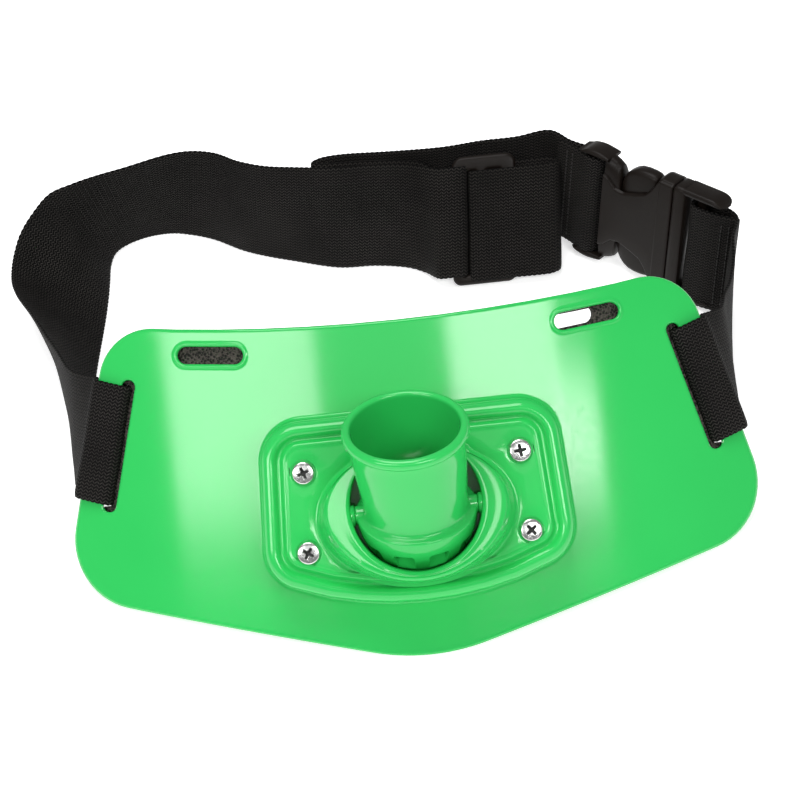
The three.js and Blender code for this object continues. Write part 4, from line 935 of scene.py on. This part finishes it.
class Ribbon:
    """Webbing through its stations, with its edges as dense lines and a place for every (length, width)."""

    def __init__(self, stations, step=RIB_PITCH / 4):
        lows, highs = [s[0] for s in stations], [s[1] for s in stations]
        low_at, high_at = smooth_path(lows), smooth_path(highs)
        low, high = [], []
        for i in range(len(stations) - 1):
            reach = max(np.linalg.norm(lows[i + 1] - lows[i]), np.linalg.norm(highs[i + 1] - highs[i]))
            for k in range(max(2, int(reach / step))):
                t = k / max(2, int(reach / step))
                low.append(low_at(i, t))
                high.append(high_at(i, t))
        low.append(lows[-1])
        high.append(highs[-1])
        low, high = np.array(low), np.array(high)
        middle = (low + high) / 2
        length = np.concatenate([[0], np.cumsum(np.linalg.norm(np.diff(middle, axis=0), axis=1))])
        self.length = length[-1]
        self.s = np.linspace(0, self.length, int(self.length / step) + 1)
        self.low = np.stack([np.interp(self.s, length, low[:, k]) for k in range(3)], 1)
        self.high = np.stack([np.interp(self.s, length, high[:, k]) for k in range(3)], 1)
        ahead = np.gradient(self.low + self.high, axis=0)
        self.side = unit(self.high - self.low)
        self.normal = unit(np.cross(ahead, self.side))
        for _ in range(3):
            smooth = self.normal.copy()
            smooth[1:-1] = (self.normal[:-2] + 2 * self.normal[1:-1] + self.normal[2:]) / 4
            self.normal = unit(smooth)
        self.width = np.linalg.norm(self.high - self.low, axis=1)

    def point(self, s, share, lift):
        """A point at length s, at a share of the width, lifted off the middle surface."""
        pick = lambda a: np.stack([np.interp(s, self.s, a[:, k]) for k in range(3)], -1)
        low, high, normal = pick(self.low), pick(self.high), unit(pick(self.normal))
        share = np.asarray(share)[..., None]
        return low * (1 - share) + high * share + normal * np.asarray(lift)[..., None]

    def skin(self, name, replaces):
        shares, edge_half = [0.0, 0.006, 0.02, 0.045], [0.25, 0.62, 0.9, 1]
        shares = np.array(shares + [0.1, 0.2, 0.35, 0.5, 0.65, 0.8, 0.9, 0.955, 0.98, 0.994, 1.0])
        half = WEBBING_THICK / 2 * np.array(edge_half + [0.96] * 7 + edge_half[::-1])
        serration = 0.32 * np.abs(np.sin(math.pi * self.s / RIB_PITCH))
        count, rows = 2 * len(shares), []
        uvs = []
        for share, h in list(zip(shares, half)) + list(zip(shares[::-1], -half[::-1])):
            edge = max(0.0, 1 - min(share, 1 - share) / 0.02)
            shift = (serration - 0.16) * edge * (1 if share > 0.5 else -1)
            base = self.low * (1 - share) + self.high * share + self.side * shift[:, None]
            wave = 0.3 * np.sin(self.s / 9.1 + 3.7 * share) * np.sin(5.3 * share + self.s / 23.0)
            wave *= min(1, 12 * min(share, 1 - share) + 0.3)
            base = base + self.normal * wave[:, None]
            rows.append(base + self.normal * h)
            uvs.append(np.stack([self.s / 1000, np.full(len(self.s), share * WEBBING_WIDTH / 1000)], 1))
        points = np.stack(rows, 1).reshape(-1, 3) / 1000
        uvs = np.stack(uvs, 1).reshape(-1, 2)
        n = len(self.s)
        i, k = np.meshgrid(np.arange(n - 1), np.arange(count), indexing="ij")
        m = (k + 1) % count
        corners = [i * count + k, i * count + m, (i + 1) * count + m, (i + 1) * count + k]
        quads = np.stack(corners, -1).reshape(-1, 4)
        faces = quads.tolist() + [tuple(range(count))[::-1], tuple((n - 1) * count + j for j in range(count))]
        mesh = bpy.data.meshes.new(name)
        mesh.from_pydata(points.tolist(), [], faces)
        layer = mesh.uv_layers.new(name="weave")
        index = np.zeros(len(mesh.loops), int)
        mesh.loops.foreach_get("vertex_index", index)
        layer.data.foreach_set("uv", uvs[index].ravel().astype(np.float32))
        work = bmesh.new()
        work.from_mesh(mesh)
        bmesh.ops.recalc_face_normals(work, faces=work.faces)
        work.to_mesh(mesh)
        work.free()
        piece = show(mesh, name, WEBBING, "belt", replaces, 60)
        return piece


long_ribbon = Ribbon(plate_loop_stations(-1) + run_stations(LEFT_RUN) + slider_stations()
                     + run_stations(RETURN_RUN) + socket_wrap())
short_ribbon = Ribbon(prong_wrap() + run_stations(RIGHT_RUN) + plate_loop_stations(1)[::-1])


def stitches(name, ribbon, rows, lift):
    """Rows of thread across or along a ribbon: each row is ((s, share), (s, share), stitch length)."""
    skin = Skin()
    for (s0, c0), (s1, c1), pitch in rows:
        far = math.hypot(s1 - s0, (c1 - c0) * WEBBING_WIDTH)
        for k in range(int(far / pitch)):
            shares = (k + np.linspace(0.12, 0.88, 7)) * pitch / far
            s, c = s0 + (s1 - s0) * shares, c0 + (c1 - c0) * shares
            rise = lift + 0.28 * np.sin(np.linspace(0, math.pi, 7)) * np.sign(lift)
            line = ribbon.point(s, c, rise)
            ahead = unit(np.gradient(line, axis=0))
            out = unit(ribbon.point(s, c, rise + 1) - line)
            side = np.cross(ahead, out)
            size = 0.26 * np.array([0.5, 0.85, 1, 1, 1, 0.85, 0.5])
            t = around(6)
            c, s = np.cos(t)[:, None], np.sin(t)[:, None]
            rings = [line[i] + size[i] * (c * side[i] + s * out[i]) for i in range(7)]
            skin.rings(rings)
            skin.fan(rings[0], flip=True)
            skin.fan(rings[-1])
    return skin.build(name, ROW, THREAD, "belt", (), "webbing", 60, 0.0001)


# ---- Slider ----
def tri_glide():
    tall = SLIDER_ROOM + SLIDER_END
    far = SLIDER_LENGTH + 2.4
    corners = [(0, -SLIDER_END, 4), (far, -SLIDER_END, 4), (far, tall, 5), (0, tall, 5)]
    loops = [rounded(corners, 8, 4)[0]]
    for low in (SLIDER_BAR, 2 * SLIDER_BAR + SLIDER_SLOT):
        high = low + SLIDER_SLOT
        hole = [(low, 1.2, 1.2), (high, 1.2, 1.2), (high, 47.8, 1.2), (low, 47.8, 1.2)]
        loops.append(rounded(hole, 5, 4)[0][::-1])
    skin = slab(loops, -SLIDER_THICK / 2 - 0.2, SLIDER_THICK / 2 + 0.2, 1.9, steps=8)
    return skin.build("slider_skin", SLIDER, BLACK, "belt", ["tri_glide"], "black_plastic", 40)


# ---- Buckle: sections across it (c from its middle, q out of its face) joined along a ----
SOCKET_FACE = (  # a, and half width of the flat face
    [0, 1.8, 4.8, 10.1, 15.7, 18.2, 19.9, 24.3, 31.1, 36.2, 39, 41, 42.4, 43.4, 50],
    [26.6, 26.4, 24, 19.8, 17.6, 15.2, 13.6, 13, 15.2, 17.3, 20.6, 24, 26.6, 27, 26.9],
)
SOCKET_HALF = (  # a, and half width of the body
    [0, 2, 5, 9, 14, 18, 20.4, 21.3, 21.9, 22.4, 24, 36, 39.4, 40.6, 41.4, 42.4, 43.6, 50],
    [25.4, 27.2, 28.1, 28.2, 27.2, 25.6, 24, 21.5, 15.5, 10.5, 9.2, 12, 15.5, 20, 25, 27.7, 28.2, 28],
)
BUCKLE_HALF = BUCKLE_WIDTH / 2


def joined(skin, rows, mirror=1):
    """rows: (a, ring of (c, q)); closed at both ends."""
    rows = [(a, np.asarray(r)) for a, r in rows]
    rings = [np.column_stack([np.full(len(r), a), BUCKLE_HALF + mirror * r[:, 0], r[:, 1]]) for a, r in rows]
    skin.rings(rings)
    skin.fan(rings[0], flip=True)
    skin.fan(rings[-1])


def socket_ring(a, shrink=0.0):
    half, t = np.interp(a, *SOCKET_HALF) - shrink, BUCKLE_THICK / 2 - shrink + (0.22 if a > 43 else 0)
    face = min(np.interp(a, *SOCKET_FACE), half - 0.9) if a < 20 or a > 42 else np.interp(a, *SOCKET_FACE)
    quarter = [(0, t), (face * 0.5, t), (face - 1.0, t), (face - 0.4, t - 0.08)]
    quarter += [(face - 0.05, t - 0.4), (face + 0.1, t - 0.9), (face + 0.3, t - 1.25)]
    for p in np.radians(np.linspace(0, 90, 9))[1:]:
        low = (t - 1.25) * math.cos(p) ** 0.75 if p < 1.57 else 0.0
        quarter.append((face + 0.3 + (half - face - 0.3) * math.sin(p), low))
    upper = quarter + [(c, -q) for c, q in quarter[-2::-1]]
    lower = [(-c, q) for c, q in upper[-2:0:-1]]
    return upper + lower


def block_ring(low, high, t, radius, steps=5):
    """A rounded rectangle in c and q."""
    ring = []
    for cx, cy, start in ((high, t, 0), (low, t, 90), (low, -t, 180), (high, -t, 270)):
        r = min(radius, (high - low) / 2.01, t)
        x, y = cx - math.copysign(r, cx - (low + high) / 2), cy - math.copysign(r, cy)
        ring += arc(x, y, r, start, start + 90, steps)
    return ring


def cross_bar(skin, a, radius=2.4, half=26):
    """The round bar that the webbing is sewn about."""
    x, z = radius * np.cos(around(24)), radius * np.sin(around(24))
    skin.rings([np.column_stack([a + x, np.full(24, BUCKLE_HALF + c), z]) for c in (-half, half)])


def buckle_socket():
    skin = Skin()
    spans = [(13.4, 49.4, 49), (18, 23, 16), (39, 44, 16)]
    a_rows = np.unique(np.concatenate([np.linspace(*span) for span in spans]))
    rows = [(13.2, socket_ring(13.4, 0.5))] + [(a, socket_ring(a)) for a in a_rows]
    joined(skin, rows + [(49.75, socket_ring(49.7, 0.15)), (49.95, socket_ring(49.7, 0.5))])
    for side in (1, -1):
        rail = []
        for a in (-1.2, -1.0, -0.4, 0.6, 2, 4, 6, 8, 10, 12, 14, 15):
            inward = max(0, (0.6 - a)) * 0.9
            half = np.interp(max(a, 0), *SOCKET_HALF) - inward * 0.5
            thick = BUCKLE_THICK / 2 - 0.3 - inward
            rail.append((a, block_ring(25.3 + 0.3 * inward, max(half, 26.2), thick, 1.3)))
        joined(skin, rail, side)
    cross_bar(skin, SOCKET_BAR_A)
    return skin.build("socket_skin", BUCKLE, BLACK, "belt", ["buckle_socket"], "black_plastic", 50)


BUTTON = [  # a, outer reach, half thickness
    (21.6, 16, 1.6), (22.2, 18.6, 2.6), (23.4, 21.6, 3.3), (25, 23.6, 3.7), (27, 25.2, 3.9),
    (29.5, 26.4, 4.0), (33, 26.9, 4.0), (36.5, 26.9, 3.9), (39, 26.5, 3.8), (40.1, 26, 3.5),
    (40.6, 25.2, 2.9),
]


def buckle_prong():
    skin = Skin()
    for side in (1, -1):
        joined(skin, [(a, block_ring(7, c, t, 2.6 if t > 2.7 else t)) for a, c, t in BUTTON], side)
    far = BUCKLE_THICK / 2
    body = [(50.35, 27.0, far - 0.4), (50.7, 27.5, far), (52, 27.7, far + 0.1)]
    body += [(55.6, 27.7, far + 0.05), (56.2, 27.6, far - 0.1), (56.5, 27.2, far - 0.6)]
    joined(skin, [(a, block_ring(-c, c, t, 2.2)) for a, c, t in body])
    for side in (1, -1):
        rail = []
        for a in (55, 58, 61, 64, 67, 69, 70.5, 72, 73.2, 74.2, 75, 75.5, 75.8):
            past = max(0, a - 69) / 6.8
            outer = 27.7 - 3.4 * past ** 2.2
            thick = far * math.sqrt(max(0.12, 1 - past ** 5))
            rail.append((a, block_ring(24.6 if side > 0 else 26.0, outer, thick, 1.4)))
        joined(skin, rail, side)
    cross_bar(skin, PRONG_BAR_A - 6.5)
    return skin.build("prong_skin", BUCKLE, BLACK, "belt", ["buckle_prong"], "black_plastic", 50)


# ---- Make the pieces ----
belly_plate()
back_pad()
gimbal_base()
rod_cup()
pivot_pin()
for screw_name, (u, v, turn) in SCREWS.items():
    screw(screw_name, u, v, turn)
long_ribbon.skin("long_webbing", ["long_strap"])
short_ribbon.skin("short_webbing", ["short_strap"])
end = long_ribbon.length
sewn = [((end - 9, 0.06), (end - 9, 0.95), 2.2), ((end - 5.5, 0.06), (end - 5.5, 0.95), 2.2)]
stitches("socket_stitches", long_ribbon, sewn, -0.95)
sewn = [((4, 0.08), (4, 0.92), 2.2), ((7.5, 0.08), (7.5, 0.92), 2.2)]
stitches("prong_stitches", short_ribbon, sewn, -0.95)
tri_glide()
buckle_socket()
buckle_prong()

# ---- Floor, light and camera ----
floor_mesh = bpy.data.meshes.new("floor")
floor_mesh.from_pydata([(-4, -4, 0), (4, -4, 0), (4, 4, 0), (-4, 4, 0)], [], [(0, 1, 2, 3)])
floor = linked("floor", floor_mesh)
floor_mat, floor_tree, floor_shader = material("floor", (0.93, 0.93, 0.93), 0.9)
floor_shader.inputs["Specular IOR Level"].default_value = 0.1
floor_shader.inputs["Emission Color"].default_value = (1, 1, 1, 1)
floor_shader.inputs["Emission Strength"].default_value = 0.55
floor_mesh.materials.append(floor_mat)

world = bpy.data.worlds.new("studio")
bpy.context.scene.world = world
world.use_nodes = True
world.node_tree.nodes["Background"].inputs["Color"].default_value = (1, 1, 1, 1)
world.node_tree.nodes["Background"].inputs["Strength"].default_value = 0.29

VIEW_UP = math.radians(44)
RIGHT = np.array([1.0, 0, 0])
UP = np.array([0, math.sin(VIEW_UP), math.cos(VIEW_UP)])
BACK = np.array([0, -math.cos(VIEW_UP), math.sin(VIEW_UP)])
AIM = PLATE_ORIGIN - 2 * RIGHT + 102.7 * UP


def placed(x, y, z, spot):
    """The matrix of an object with these axes at a spot."""
    return Matrix([*np.column_stack([x, y, z, spot]).tolist(), [0, 0, 0, 1]])


def softbox(name, across, up, distance, width, height, power):
    """A soft light at angles across and up from the camera's own direction, seen from the plate."""
    a, e = math.radians(across), math.radians(up)
    way = BACK * math.cos(a) * math.cos(e) + RIGHT * math.sin(a) * math.cos(e) + UP * math.sin(e)
    light = bpy.data.lights.new(name, "AREA")
    light.shape = "RECTANGLE"
    light.size, light.size_y, light.energy = width, height, power
    lamp = linked(name, light)
    place = AIM + way * distance * 1000
    side = unit(np.cross(UP, way))
    top = np.cross(way, side)
    lamp.matrix_world = placed(side, top, way, place / 1000)


softbox("box_left", -32.7, 2.85, 2.2, 1.245, 0.475, 16.3)
softbox("box_right", 20.7, 2.85, 2.2, 0.85, 0.475, 14.0)
softbox("box_right_low", 35.0, -1.6, 2.2, 0.32, 0.13, 2.1)
softbox("box_centre", -4, 3, 2.4, 1.0, 0.45, 1.2)
softbox("box_fill", -12, 55, 2.4, 1.4, 1.4, 37)

camera_data = bpy.data.cameras.new("camera")
camera_data.lens = 2750 / 800 * 36
camera_data.sensor_width = 36
camera_data.clip_end = 20
camera = linked("camera", camera_data)
roll = math.radians(6)
cam_right = math.cos(roll) * RIGHT - math.sin(roll) * UP
cam_up = math.sin(roll) * RIGHT + math.cos(roll) * UP
spot = (AIM + 1100 * BACK) / 1000
camera.matrix_world = placed(cam_right, cam_up, BACK, spot)
bpy.context.scene.camera = camera
bpy.context.scene.view_settings.view_transform = "Standard"
